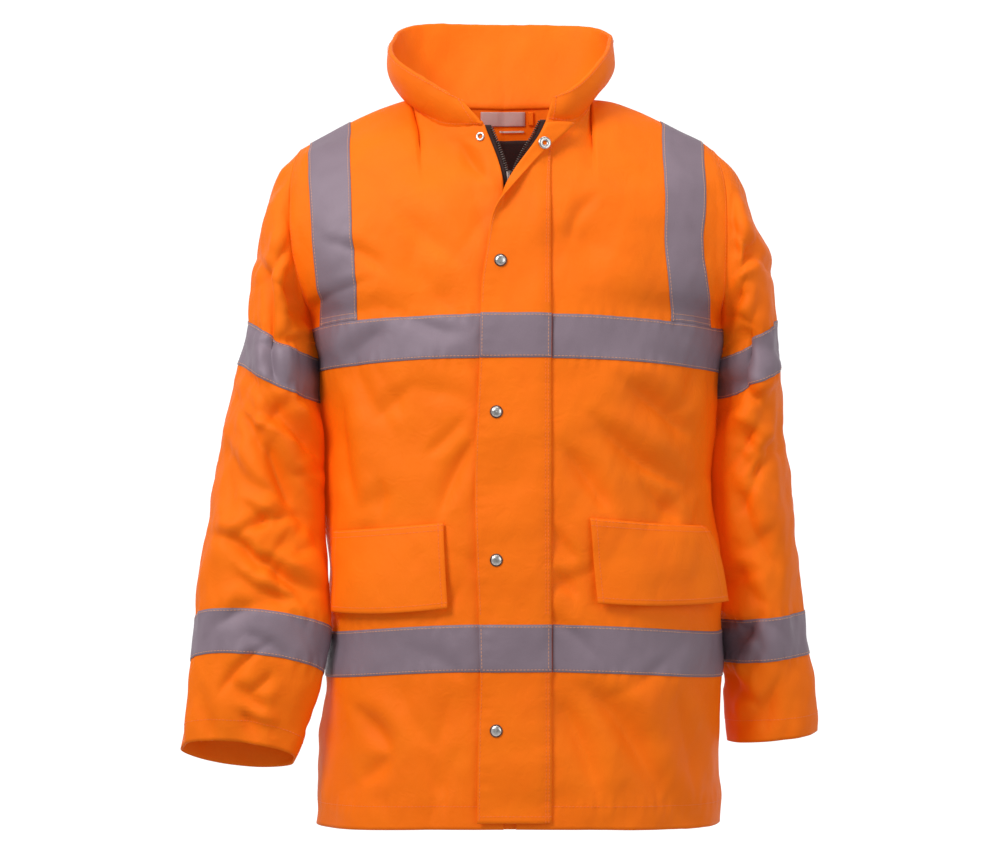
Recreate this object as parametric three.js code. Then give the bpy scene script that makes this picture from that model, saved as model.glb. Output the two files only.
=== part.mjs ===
// A hi-vis work jacket, filled out as if worn, in millimetres with +Z up.
// The front faces -Y and the wearer's left is +X. The origin is at the back neck seam's height.
import * as THREE from "three";

// Cloth and tape
const CLOTH = 2.4;
const SEAM_TRIM = 0.3;
const TAPE_LIFT = 0.5;
const TAPE = 1;
const COLLAR_WALL = 4;
const FLAP_CLOTH = 1.8;

// Body shape
const SQUARENESS = 0.87;
const SIDE_DROP = 2.2;
const ZIP_EDGE_RIGHT = -4;
const ZIP_EDGE_LEFT = 9;
const TOP_LEVEL = 0;
const BEYOND_TOP = 110;
const COLUMNS = 12;
const NECK_COLUMN = 4;
const SEAM_COLUMN = 2;
const BRACE_IN = 7;
const BRACE_OUT = 9;

// Storm flap and zip
const FLAP_SEAM_X = 46.4;
const TAPE_FROM_SEAM = 1;
const FLAP_LIFT = 3.4;
const FLAP_SEAM_LIFT = 0.6;
const FLAP_RISE = 14;
const FLAP_TURN = 8;
const ZIP_TAPE_IN = 7;
const ZIP_TAPE_OUT = 5.9;
const ZIP_TAPE = 1;
const ZIP_TAPE_LIFT = 0.9;
const SLIDER = { width: 8, depth: 3, height: 14, x: 2.5, z: -97, clear: 2 };

// Neck fittings, seen inside the back
const FITTING_LIFT = 0.4;
const LABEL = { fromX: -30, toX: 21, top: -5, low: -21, thick: 0.8 };
const LOOP = { fromX: 24, toX: 31, top: -5, low: -20, thick: 1.6 };
const LINING = { thick: 1, columns: 6 };

// Press studs
const STUD_RADIUS = 6.8;
const STUD_HEIGHT = 3;
const RING_RADIUS = 5;
const RING_HOLE = 2.4;
const RING_HEIGHT = 1.6;
const ROUND_SIDES = 16;

// Sleeves
const RING_SIDES = 16;
const FRONT_SEAM = 5;
const BACK_SEAM = 11;
const UNDERARM = 8;
const ARMHOLE_GAP = 0.6;
const SLEEVE_TRIM = 0.75;

const ORANGE = 0xff7a18;
const TAPE_GREY = 0x897783;
const DARK = 0x2a0806;
const SILVER = 0xb9bcc0;
const LABEL_PINK = 0xc8a0a0;

function cloth(color, roughness = 0.6) {
  return new THREE.MeshStandardMaterial({ color, roughness, metalness: 0 });
}
const orange = cloth(ORANGE);
const tapeGrey = cloth(TAPE_GREY, 0.45);
const dark = cloth(DARK, 0.7);
const labelPink = cloth(LABEL_PINK, 0.8);
const silver = new THREE.MeshStandardMaterial({ color: SILVER, roughness: 0.3, metalness: 1 });

// Turns rows of numbers into records with the column names as keys.
function table(columns, rows) {
  return rows.map((row) => Object.fromEntries(columns.map((name, i) => [name, row[i]])));
}

// Body rows from hem to shoulder. level is the height at the front edge, side the side seam or
// the armhole, and braceIn and braceOut say how far towards the side the braces' edges lie.
const BODY_ROWS = table(
  ["name", "level", "sideZ", "frontY", "backZ", "backY", "rightX", "leftX",
    "frontSideY", "backSideY", "turn", "braceIn", "braceOut", "steps"],
  [
    ["hem", -790, -802, -152, -800, 126, -211, 236, 8, 8, 90, 0.737, 0.943, 2],
    ["hip", -700, -708, -150, -706, 122, -206, 236, 8, 8, 90, 0.737, 0.943, 2],
    ["waist_tape_low", -624, -640, -148, -636, 118, -202, 237, 8, 8, 90, 0.737, 0.943, 1],
    ["waist_tape_top", -574, -590, -147, -586, 116, -199, 237, 8, 8, 90, 0.737, 0.943, 2],
    ["pocket", -520, -528, -146, -526, 112, -197, 234, 8, 8, 90, 0.737, 0.943, 2],
    ["belly", -455, -460, -144, -460, 108, -200, 226, 8, 8, 90, 0.737, 0.943, 2],
    ["lower_chest", -380, -388, -141, -388, 110, -203, 223, 8, 8, 90, 0.737, 0.943, 2],
    ["chest_tape_low", -292, -305, -136, -303, 118, -209, 231, 8, 8, 90, 0.737, 0.943, 1],
    ["chest_tape_top", -245, -258, -131, -256, 121, -214, 236, 8, 8, 90, 0.737, 0.943, 1],
    ["armpit", -238, -250, -130, -248, 122, -215, 236, 8, 8, 88, 0.735, 0.94, 1],
    ["armhole_low", -212, -226, -126, -222, 123, -222, 237, -46, 60, 75, 0.719, 0.92, 2],
    ["upper_chest", -170, -178, -118, -178, 124, -234, 239, -62, 74, 66, 0.699, 0.891, 2],
    ["yoke", -108, -112, -101, -112, 114, -238, 240, -44, 62, 62, 0.703, 0.9, 3],
  ],
);

// Neckline from the front edge to the side of the neck, and on to the middle of the back.
const NECKLINE = {
  right: table(["at", "x", "y", "z"], [
    [0, -25, -84, -39], [0.385, -72, -58, -36], [0.785, -104, -20, -9], [1, -107, 10, 0],
  ]),
  left: table(["at", "x", "y", "z"], [
    [0, 43, -80, -33], [0.385, 74, -58, -33], [0.785, 92, -20, -8], [1, 92, 10, 0],
  ]),
};
const BACK_NECKLINE = {
  right: table(["at", "x", "y", "z"], [[0, -5, 92, 0], [0.6, -75, 74, 1], [1, -107, 10, 0]]),
  left: table(["at", "x", "y", "z"], [[0, -5, 92, 0], [0.6, 68, 74, 1], [1, 92, 10, 0]]),
};

// Shoulder seam from the neck to the armhole; at is the column that ends there.
const SHOULDER = {
  right: table(["at", "x", "y", "z"], [
    [4, -107, 10, 0], [5, -130, 10, -7.5], [6, -152, 10, -16], [7, -174, 11, -26],
    [8, -197, 11, -38], [9, -219, 12, -50], [12, -230, 12, -57],
  ]),
  left: table(["at", "x", "y", "z"], [
    [4, 92, 10, 0], [5, 118, 10, -3.5], [6, 144, 10, -13], [7, 170, 11, -26],
    [8, 193, 11, -38], [9, 216, 12, -49], [12, 230, 12, -58],
  ]),
};

// Collar sections: at is the place along the neckline from the right end to the left end,
// then the top edge's point and how far the wall bulges out halfway up.
const COLLAR = table(["at", "x", "y", "z", "bulge"], [
  [0, -48.6, -80, -12, 0],
  [0.9, -70, -78, 0, 2],
  [1.6, -90, -72, 12.6, 4],
  [3, -125, -35, 41.5, 8],
  [4.3, -131, 28, 68, 9],
  [6, -108, 105, 95, 6],
  [8, -5, 128, 99, 4],
  [10, 100, 105, 93, 6],
  [11.7, 117, 28, 68, 14],
  [13, 101, -35, 37, 10],
  [14.4, 76, -72, 6, 4],
  [16, 48.6, -80, -9, 0],
]);
const COLLAR_STEPS = 5;

// Sleeve rings from the shoulder to the cuff, each from its outer point to its inner point,
// with the depth's middle and half, and how far the front is lifted above the back.
const SLEEVE_COLUMNS = ["name", "outX", "outZ", "inX", "inZ", "midY", "halfY", "lift", "steps"];
const SLEEVES = {
  right: table(SLEEVE_COLUMNS, [
    ["head", -262, -104, -219, -263, 8, 82, 0, 1],
    ["below_head", -276, -165, -219, -277, 2, 84, 0, 2],
    ["upper_tape_top", -287, -248, -217, -291, -4, 80, 0, 1],
    ["upper_tape_low", -296, -297, -213, -340, -12, 76, 0, 2],
    ["above_elbow", -313, -369, -207, -408, -24, 70, 0, 2],
    ["elbow", -328, -467, -204, -492, -42, 62, 4, 2],
    ["below_elbow", -336, -536, -200, -550, -54, 52, 12, 1],
    ["lower_tape_top", -340, -571, -196, -584, -60, 47, 17, 1],
    ["lower_tape_low", -345, -621, -200, -634, -64, 43, 19, 1],
    ["wrist", -348, -673, -216, -688, -68, 38, 19, 1],
    ["cuff", -354, -714, -228, -726, -70, 34, 17, 0],
  ]),
  left: table(SLEEVE_COLUMNS, [
    ["head", 264, -106, 240, -263, 10, 80, 0, 1],
    ["below_head", 284, -160, 241, -277, 14, 82, 0, 2],
    ["upper_tape_top", 298, -247, 241, -291, 20, 80, 0, 1],
    ["upper_tape_low", 304, -298, 237, -335, 26, 78, 0, 2],
    ["above_elbow", 310, -369, 231, -396, 32, 76, 0, 2],
    ["elbow", 323, -469, 233, -485, 38, 73, 0, 2],
    ["below_elbow", 331, -536, 240, -546, 40, 70, 0, 1],
    ["lower_tape_top", 334, -571, 243, -580, 41, 68, 0, 1],
    ["lower_tape_low", 339, -619, 244, -628, 41, 66, 0, 1],
    ["wrist", 346, -670, 245, -678, 41, 62, 0, 1],
    ["cuff", 348, -706, 247, -718, 40, 58, 0, 0],
  ]),
};
const HEAD_STEPS = 2;

// The largest folds: from one place to the other across the front view, with a trough's depth
// below zero. face is -1 at the front and 1 at the back.
const FOLD_COLUMNS = ["fromX", "fromZ", "toX", "toZ", "face", "height", "width"];
const BODY_FOLDS = table(FOLD_COLUMNS, [
  [124, -316, 202, -374, -1, -8, 30],
  [92, -356, 198, -425, -1, -8, 28],
  [144, -418, 190, -466, -1, -6, 24],
  [60, -388, 108, -458, -1, -6, 26],
  [-42, -378, -78, -457, -1, -6, 26],
  [-178, -339, -165, -440, -1, -6, 26],
  [88, -644, 162, -761, -1, -8, 34],
  [60, -680, 100, -770, -1, -5, 26],
  [-166, -655, -118, -715, -1, -7, 32],
  [120, -330, 20, -440, 1, -8, 34],
  [-110, -340, -30, -430, 1, -7, 32],
  [-90, -640, -130, -760, 1, -8, 34],
  [70, -650, 110, -770, 1, -7, 34],
]);
const SLEEVE_FOLDS = {
  right: table(FOLD_COLUMNS, [
    [-231, -192, -222, -262, -1, -8, 26],
    [-264, -200, -250, -330, -1, -5, 22],
    [-262, -380, -204, -500, -1, -9, 30],
    [-318, -480, -226, -552, -1, -6, 26],
    [-300, -420, -230, -500, 1, -8, 30],
  ]),
  left: table(FOLD_COLUMNS, [
    [268, -262, 226, -373, -1, -9, 30],
    [250, -130, 248, -200, -1, -5, 24],
    [256, -430, 300, -520, -1, -5, 28],
    [290, -400, 250, -500, 1, -7, 30],
  ]),
};

// Storm flap rows from the top down: its free edge or fold, the length beyond the fold,
// and how far it is turned over, from 0 flat to 1 folded back.
const STORM_FLAP = table(["z", "edgeX", "beyond", "turned"], [
  [-36, 41, 36, 1],
  [-62, 27, 27, 1],
  [-86, 12, 21, 1],
  [-110, -3, 17, 0.8],
  [-140, -15, 13, 0.25],
  [-177, -22, 12, 0],
  [-210, -27, 12, 0],
  [-245, -28.5, 12, 0],
  [-292, -29.5, 12, 0],
  [-358, -32.5, 12, 0],
  [-421, -34.5, 12, 0],
  [-506, -32.7, 12, 0],
  [-574, -30, 12, 0],
  [-624, -29, 12, 0],
  [-706, -31, 12, 0],
  [-783, -32, 12, 0],
]);
const STUD_POST = { x: -29, z: -52 };
const SOCKET = { row: 1, fromEdge: 1 };
const FLAP_MAIN_STEPS = 4;
const FLAP_BEYOND_STEPS = 5;

const STUDS = table(["x", "z"], [[-7.4, -188], [-11.6, -350], [-11.6, -508], [-11.6, -684]]);

// Pocket flaps by their corners in the front view: the top edge, the bottom edge, and how far
// the bottom corners stand off the body.
const POCKET_FLAPS = table(
  ["side", "innerX", "outerX", "innerTop", "outerTop", "innerLow", "outerLow", "lowInnerX",
    "lowOuterX", "innerOff", "outerOff"],
  [
    ["right", -67, -184, -467, -478, -557, -566, -62, -182, 5, 5],
    ["left", 86, 214, -462, -474, -552, -556, 94, 226, 5, 17],
  ],
);
const POCKET_COLUMNS = 6;
const POCKET_ROWS = 4;
const POCKET_TOP_LIFT = 0.9;

// Curves through a list of values at increasing places, with smooth slopes.
function between(places, values, at) {
  const last = places.length - 1;
  let i = 0;
  while (i < last - 1 && at > places[i + 1]) i += 1;
  const slope = (k) => {
    const low = Math.max(k - 1, 0);
    const high = Math.min(k + 1, last);
    const before = k > 0 ? (values[k] - values[low]) / (places[k] - places[low]) : 0;
    const after = k < last ? (values[high] - values[k]) / (places[high] - places[k]) : 0;
    if (k === 0) return after;
    if (k === last) return before;
    const spanBefore = places[k] - places[low];
    const spanAfter = places[high] - places[k];
    return (before * spanAfter + after * spanBefore) / (spanBefore + spanAfter);
  };
  const span = places[i + 1] - places[i];
  const t = (at - places[i]) / span;
  if (t < 0) return values[i] + slope(i) * (at - places[i]);
  if (t > 1) return values[i + 1] + slope(i + 1) * (at - places[i + 1]);
  const ease = t * t * (3 - 2 * t);
  return values[i] * (1 - ease) + values[i + 1] * ease
    + slope(i) * span * t * (1 - t) * (1 - t) - slope(i + 1) * span * t * t * (1 - t);
}

function pointBetween(places, points, at) {
  return new THREE.Vector3(...["x", "y", "z"].map(
    (axis) => between(places, points.map((point) => point[axis]), at),
  ));
}

function alongRows(rows, at) {
  return pointBetween(rows.map((row) => row.at), rows, at);
}

function mix(from, to, t) {
  return from + (to - from) * t;
}

// How far towards the side a column lies on a body row: 0 at the front or back middle.
function columnReach(row, column) {
  const seam = (FLAP_SEAM_X + TAPE_FROM_SEAM - ZIP_EDGE_LEFT) / (row.leftX - ZIP_EDGE_LEFT);
  if (column <= SEAM_COLUMN) return seam * column / SEAM_COLUMN;
  if (column <= BRACE_IN) {
    return mix(seam, row.braceIn, (column - SEAM_COLUMN) / (BRACE_IN - SEAM_COLUMN));
  }
  if (column <= BRACE_OUT) {
    return mix(row.braceIn, row.braceOut, (column - BRACE_IN) / (BRACE_OUT - BRACE_IN));
  }
  const angleOf = (reach) => Math.asin(Math.min(reach, 1) ** (1 / SQUARENESS));
  const t = (column - BRACE_OUT) / (COLUMNS - BRACE_OUT);
  return Math.sin(mix(angleOf(row.braceOut), Math.PI / 2, t)) ** SQUARENESS;
}

// A rounded stretch from the middle of the front or back to the side.
function roundedStretch(middle, side, turnDegrees, reach) {
  const turn = THREE.MathUtils.degToRad(turnDegrees);
  const inside = Math.max(reach, 0);
  const angle = Math.asin(Math.min(inside ** (1 / SQUARENESS) * Math.sin(turn), 1));
  const deep = (1 - Math.cos(angle) ** SQUARENESS) / (1 - Math.cos(turn) ** SQUARENESS);
  return new THREE.Vector3(
    mix(middle.x, side.x, reach),
    mix(middle.y, side.y, Math.min(deep, 1)),
    mix(middle.z, side.z, inside ** SIDE_DROP),
  );
}

function bodyRowPoint(row, face, hand, column) {
  const sideX = hand === "right" ? row.rightX : row.leftX;
  const zipX = hand === "right" ? ZIP_EDGE_RIGHT : ZIP_EDGE_LEFT;
  const front = face === "front";
  const middle = front
    ? { x: zipX, y: row.frontY, z: row.level }
    : { x: (row.rightX + row.leftX) / 2, y: row.backY, z: row.backZ };
  const side = { x: sideX, y: front ? row.frontSideY : row.backSideY, z: row.sideZ };
  return roundedStretch(middle, side, row.turn, columnReach(row, column));
}

function topPoint(face, hand, column) {
  if (column >= NECK_COLUMN) return alongRows(SHOULDER[hand], column);
  const neckline = face === "front" ? NECKLINE[hand] : BACK_NECKLINE[hand];
  return alongRows(neckline, column / NECK_COLUMN);
}

// The body's outer face at a column, counted from the middle to the side, and a level.
function bodyPoint(face, hand, column, level) {
  const yoke = BODY_ROWS[BODY_ROWS.length - 1];
  const top = topPoint(face, hand, column);
  const otherFace = face === "front" ? "back" : "front";
  const onwards = column >= NECK_COLUMN
    ? bodyRowPoint(yoke, otherFace, hand, column)
    : top.clone().multiplyScalar(2).sub(bodyRowPoint(yoke, face, hand, column));
  const places = [...BODY_ROWS.map((row) => row.level), TOP_LEVEL, BEYOND_TOP];
  const points = [...BODY_ROWS.map((row) => bodyRowPoint(row, face, hand, column)), top, onwards];
  return pointBetween(places, points, level);
}

// The place on a body face that shows at x and z from the front, with the way out from there.
function onBody(face, hand, x, z) {
  const nudge = 0.01;
  const surface = (column, level) => bodyPoint(face, hand, column, level);
  let column = NECK_COLUMN;
  let level = z;
  for (let pass = 0; pass < 14; pass += 1) {
    const here = surface(column, level);
    const across = surface(column + nudge, level).sub(here).divideScalar(nudge);
    const up = surface(column, level + nudge).sub(here).divideScalar(nudge);
    const missX = x - here.x;
    const missZ = z - here.z;
    const scale = across.x * up.z - across.z * up.x;
    column += THREE.MathUtils.clamp((missX * up.z - missZ * up.x) / scale, -2, 2);
    level += THREE.MathUtils.clamp((across.x * missZ - across.z * missX) / scale, -60, 60);
  }
  const position = surface(column, level);
  const across = surface(column + nudge, level).sub(position);
  const up = surface(column, level + nudge).sub(position);
  const normal = across.cross(up).normalize();
  if (normal.y > 0 === (face === "front")) normal.negate();
  return { position, normal };
}

// One record for each place, shared by the pieces that meet there.
const places = new Map();
function sharedPlace(position) {
  const key = position.toArray().map((value) => Math.round(value * 100)).join();
  if (!places.has(key)) places.set(key, { position, normal: new THREE.Vector3(), moved: false });
  return places.get(key);
}

// Levels with the steps between the rows of a table.
function stepped(rows, valueOf, end) {
  const values = [...rows.map(valueOf), ...end];
  const levels = [];
  rows.forEach((row, i) => {
    for (let step = 0; step < row.steps; step += 1) {
      levels.push(mix(values[i], values[i + 1], step / row.steps));
    }
  });
  levels.push(values[rows.length - (end.length ? 0 : 1)]);
  return levels;
}
const LEVELS = stepped(BODY_ROWS, (row) => row.level, [TOP_LEVEL]);
function rowIndex(name) {
  return LEVELS.indexOf(BODY_ROWS.find((row) => row.name === name).level);
}
const TOP_ROW = LEVELS.length - 1;
const ARMPIT_ROW = rowIndex("armpit");

function range(from, to) {
  const step = to >= from ? 1 : -1;
  return Array.from({ length: Math.abs(to - from) + 1 }, (_, i) => from + i * step);
}

function bodyGrid(stretches) {
  return LEVELS.map((level) => stretches.flatMap(({ face, hand, columns }) => columns.map(
    (column) => sharedPlace(bodyPoint(face, hand, column, level)),
  )));
}
const body = {
  right: bodyGrid([{ face: "front", hand: "right", columns: range(0, COLUMNS) }]),
  back: bodyGrid([
    { face: "back", hand: "right", columns: range(COLUMNS, 0) },
    { face: "back", hand: "left", columns: range(1, COLUMNS) },
  ]),
  left: bodyGrid([{ face: "front", hand: "left", columns: range(COLUMNS, 0) }]),
};

// The armhole from the shoulder down the front to the armpit and up the back.
function armhole(hand) {
  const frontColumn = hand === "right" ? COLUMNS : 0;
  const backColumn = hand === "right" ? 0 : 2 * COLUMNS;
  const front = range(TOP_ROW, ARMPIT_ROW).map((row) => body[hand][row][frontColumn]);
  const back = range(ARMPIT_ROW + 1, TOP_ROW - 1).map((row) => body.back[row][backColumn]);
  return [...front, ...back];
}

// A sleeve as a list of rings, each with its places in the same order as the armhole's.
// The first ring lies just outside the armhole, and each of its places has a partner there.
function sleeveRings(hand) {
  const rings = SLEEVES[hand];
  const outwards = hand === "right" ? -ARMHOLE_GAP : ARMHOLE_GAP;
  const hole = armhole(hand).map((partner) => {
    const position = partner.position.clone().setX(partner.position.x + outwards);
    return Object.assign(sharedPlace(position), { partner });
  });
  const at = [0];
  rings.forEach((ring, i) => {
    const before = i ? rings[i - 1] : { outX: ring.outX, outZ: hole[0].position.z };
    at.push(at[i] + Math.hypot(ring.outX - before.outX, ring.outZ - before.outZ));
  });
  const ringPoint = (ring, side) => {
    const angle = 2 * Math.PI * side / RING_SIDES;
    const across = (1 + Math.cos(angle)) / 2;
    return new THREE.Vector3(
      mix(ring.inX, ring.outX, across),
      ring.midY - ring.halfY * Math.sin(angle),
      mix(ring.inZ, ring.outZ, across) + ring.lift * Math.sin(angle),
    );
  };
  const steps = [{ steps: HEAD_STEPS }, ...rings];
  const stops = stepped(steps.slice(0, -1), (_, i) => at[i], [at[at.length - 1]]);
  const sleeve = stops.map((stop, row) => range(0, RING_SIDES - 1).map((side) => {
    if (row === 0) return hole[side];
    const points = [hole[side].position, ...rings.map((ring) => ringPoint(ring, side))];
    return sharedPlace(pointBetween(at, points, stop));
  }));
  const rowOf = (name) => stops.indexOf(at[1 + rings.findIndex((ring) => ring.name === name)]);
  return { sleeve, rowOf };
}
const sleeves = { right: sleeveRings("right"), left: sleeveRings("left") };

// Part of a sleeve as a grid, from one side to another around the ring.
function sleeveGrid(hand, fromSide, toSide, fromRow, toRow) {
  return sleeves[hand].sleeve.slice(fromRow, toRow + 1).map((ring) => range(fromSide, toSide).map(
    (side) => ring[side % RING_SIDES],
  ));
}
function wholeSleeve(hand, fromSide, toSide) {
  return sleeveGrid(hand, fromSide, toSide, 0, sleeves[hand].sleeve.length - 1);
}

function clearNormals() {
  places.forEach((place) => place.normal.set(0, 0, 0));
}

// Adds the way out of each small face of a grid to the places at its corners.
function addNormals(grid, direction = 1) {
  for (let row = 0; row + 1 < grid.length; row += 1) {
    for (let column = 0; column + 1 < grid[row].length; column += 1) {
      const corners = [
        grid[row][column], grid[row][column + 1],
        grid[row + 1][column], grid[row + 1][column + 1],
      ];
      const rising = corners[3].position.clone().sub(corners[0].position);
      const falling = corners[2].position.clone().sub(corners[1].position);
      const out = falling.cross(rising).multiplyScalar(direction);
      corners.forEach((corner) => corner.normal.add(out));
    }
  }
}

function settleNormals() {
  clearNormals();
  Object.values(body).forEach((grid) => addNormals(grid));
  addNormals(wholeSleeve("right", 0, RING_SIDES));
  addNormals(wholeSleeve("left", 0, RING_SIDES), -1);
  places.forEach(({ normal, partner }) => {
    if (!partner) return;
    normal.add(partner.normal);
    partner.normal.copy(normal);
  });
  places.forEach((place) => place.normal.normalize());
}

function foldHeight(position, folds) {
  return folds.reduce((sum, fold) => {
    const alongX = fold.toX - fold.fromX;
    const alongZ = fold.toZ - fold.fromZ;
    const length = Math.hypot(alongX, alongZ);
    const fromX = position.x - fold.fromX;
    const fromZ = position.z - fold.fromZ;
    const t = THREE.MathUtils.clamp((fromX * alongX + fromZ * alongZ) / length ** 2, 0, 1);
    const away = Math.hypot(fromX - alongX * t, fromZ - alongZ * t) / fold.width;
    const facing = THREE.MathUtils.smoothstep(position.y * fold.face, -10, 30);
    return away < 1 ? sum + fold.height * facing * (1 - away * away) ** 2 : sum;
  }, 0);
}

function addFolds(grid, folds) {
  grid.flat().filter((place) => !place.moved).forEach((place) => {
    place.moved = true;
    place.position.addScaledVector(place.normal, foldHeight(place.position, folds));
  });
}
settleNormals();
Object.values(body).forEach((grid) => addFolds(grid, BODY_FOLDS));
addFolds(wholeSleeve("right", 0, RING_SIDES), SLEEVE_FOLDS.right);
addFolds(wholeSleeve("left", 0, RING_SIDES), SLEEVE_FOLDS.left);
settleNormals();

// A closed wall over a grid of places, from inside to outside along the way out,
// with its four edges drawn in by trim.
function wall(grid, inside, outside, trim = SEAM_TRIM) {
  const rows = grid.length;
  const columns = grid[0].length;
  const drawnIn = (row, column) => {
    const point = grid[row][column].position.clone();
    const towards = (otherRow, otherColumn) => {
      const way = grid[otherRow][otherColumn].position.clone().sub(grid[row][column].position);
      point.addScaledVector(way.normalize(), trim);
    };
    if (row === 0) towards(1, column);
    if (row === rows - 1) towards(row - 1, column);
    if (column === 0) towards(row, 1);
    if (column === columns - 1) towards(row, column - 1);
    return point;
  };
  const offset = (amount, row, column) => (
    typeof amount === "function" ? amount(row, column) : amount
  );
  const vertices = [outside, inside].flatMap((amount) => grid.flatMap((line, row) => line.flatMap(
    (place, column) => drawnIn(row, column)
      .addScaledVector(place.normal, offset(amount, row, column)).toArray(),
  )));
  const triangles = [];
  const outer = (row, column) => row * columns + column;
  const inner = (row, column) => rows * columns + row * columns + column;
  const quad = (a, b, c, d) => triangles.push([a, b, c], [a, c, d]);
  for (let row = 0; row + 1 < rows; row += 1) {
    for (let column = 0; column + 1 < columns; column += 1) {
      quad(outer(row, column), outer(row, column + 1),
        outer(row + 1, column + 1), outer(row + 1, column));
      quad(inner(row, column), inner(row + 1, column),
        inner(row + 1, column + 1), inner(row, column + 1));
    }
    quad(outer(row, 0), outer(row + 1, 0), inner(row + 1, 0), inner(row, 0));
    quad(inner(row, columns - 1), inner(row + 1, columns - 1),
      outer(row + 1, columns - 1), outer(row, columns - 1));
  }
  for (let column = 0; column + 1 < columns; column += 1) {
    quad(inner(0, column), inner(0, column + 1), outer(0, column + 1), outer(0, column));
    quad(outer(rows - 1, column), outer(rows - 1, column + 1),
      inner(rows - 1, column + 1), inner(rows - 1, column));
  }
  return facingOut(vertices, triangles);
}

function facingOut(vertices, triangles) {
  const corner = (index) => new THREE.Vector3(...vertices.slice(3 * index, 3 * index + 3));
  const volume = triangles.reduce((sum, [a, b, c]) => (
    sum + corner(a).dot(corner(b).cross(corner(c)))
  ), 0);
  const order = volume < 0 ? triangles.map(([a, b, c]) => [a, c, b]) : triangles;
  const geometry = new THREE.BufferGeometry();
  geometry.setAttribute("position", new THREE.Float32BufferAttribute(vertices, 3));
  geometry.setIndex(order.flat());
  geometry.computeVertexNormals();
  return geometry;
}

// A grid of places that belongs to one piece only, with its own way out at each place.
// beside is any point on the piece's inner side.
function ownGrid(points, beside) {
  const grid = points.map((row) => row.map((position) => (
    { position, normal: new THREE.Vector3() }
  )));
  addNormals(grid);
  const line = grid[Math.floor(grid.length / 2)];
  const middle = line[Math.floor(line.length / 2)];
  const inwards = beside.clone().sub(middle.position).dot(middle.normal) > 0;
  grid.flat().forEach((place) => place.normal.normalize().multiplyScalar(inwards ? -1 : 1));
  return grid;
}

const jacket = new THREE.Group();
function add(name, geometry, material) {
  const mesh = new THREE.Mesh(geometry, material);
  mesh.name = name;
  jacket.add(mesh);
  return mesh;
}

// Body panels and sleeves
add("front_right", wall(body.right, -CLOTH, 0), orange);
add("front_left", wall(body.left, -CLOTH, 0), orange);
add("back", wall(body.back, -CLOTH, 0), orange);
["right", "left"].forEach((hand) => {
  const under = wholeSleeve(hand, FRONT_SEAM, BACK_SEAM);
  const top = wholeSleeve(hand, BACK_SEAM, FRONT_SEAM + RING_SIDES);
  add(`sleeve_${hand}_under`, wall(under, -CLOTH, 0, SLEEVE_TRIM), orange);
  add(`sleeve_${hand}_top`, wall(top, -CLOTH, 0, SLEEVE_TRIM), orange);
});

// Reflective tape round the chest and the waist, over the shoulders and round the sleeves
function tape(name, grid) {
  add(name, wall(grid, TAPE_LIFT, TAPE_LIFT + TAPE), tapeGrey);
}
["chest", "waist"].forEach((place) => {
  const low = rowIndex(`${place}_tape_low`);
  const top = rowIndex(`${place}_tape_top`);
  tape(`${place}_tape_front_right`, body.right.slice(low, top + 1));
  tape(`${place}_tape_front_left`, body.left.slice(low, top + 1)
    .map((row) => row.slice(0, COLUMNS - 1)));
  tape(`${place}_tape_back`, body.back.slice(low, top + 1));
});
["right", "left"].forEach((hand) => {
  const low = rowIndex("chest_tape_top");
  const columns = hand === "right" ? range(BRACE_IN, BRACE_OUT) : range(BRACE_OUT, BRACE_IN);
  const inFront = (column) => (hand === "right" ? column : COLUMNS - column);
  const behind = (column) => (hand === "right" ? COLUMNS - column : COLUMNS + column);
  tape(`brace_${hand}`, [
    ...range(low, TOP_ROW).map((row) => columns.map((column) => body[hand][row][inFront(column)])),
    ...range(TOP_ROW - 1, low).map((row) => columns.map((column) => body.back[row][behind(column)])),
  ]);
  ["upper", "lower"].forEach((place) => {
    const { rowOf } = sleeves[hand];
    tape(`sleeve_tape_${place}_${hand}`, sleeveGrid(
      hand, UNDERARM, UNDERARM + RING_SIDES, rowOf(`${place}_tape_top`), rowOf(`${place}_tape_low`),
    ));
  });
});

// Collar: it stands on the neckline, with a step between each two of the neckline's places.
function collarGrid() {
  const neckline = [
    ...body.right[TOP_ROW].slice(0, NECK_COLUMN),
    ...body.back[TOP_ROW].slice(COLUMNS - NECK_COLUMN, COLUMNS + NECK_COLUMN + 1),
    ...body.left[TOP_ROW].slice(COLUMNS - NECK_COLUMN + 1),
  ].map((place) => place.position);
  const stations = range(0, 2 * (neckline.length - 1)).map((half) => half / 2);
  const neckCentre = body.back[TOP_ROW][COLUMNS].position.clone().setY(0);
  return range(0, COLLAR_STEPS).map((step) => stations.map((station) => {
    const t = step / COLLAR_STEPS;
    const below = neckline[Math.floor(station)];
    const foot = below.clone().lerp(neckline[Math.ceil(station)], station % 1);
    const edge = alongRows(COLLAR, station);
    const bulge = between(COLLAR.map((row) => row.at), COLLAR.map((row) => row.bulge), station);
    const out = foot.clone().sub(neckCentre).setZ(0).normalize();
    return foot.lerp(edge, t).addScaledVector(out, bulge * Math.sin(Math.PI * t));
  }));
}
const NECK_INSIDE = new THREE.Vector3(0, 0, 40);
add("collar", wall(ownGrid(collarGrid(), NECK_INSIDE), -COLLAR_WALL, 0, 2 * SEAM_TRIM), orange);

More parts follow.
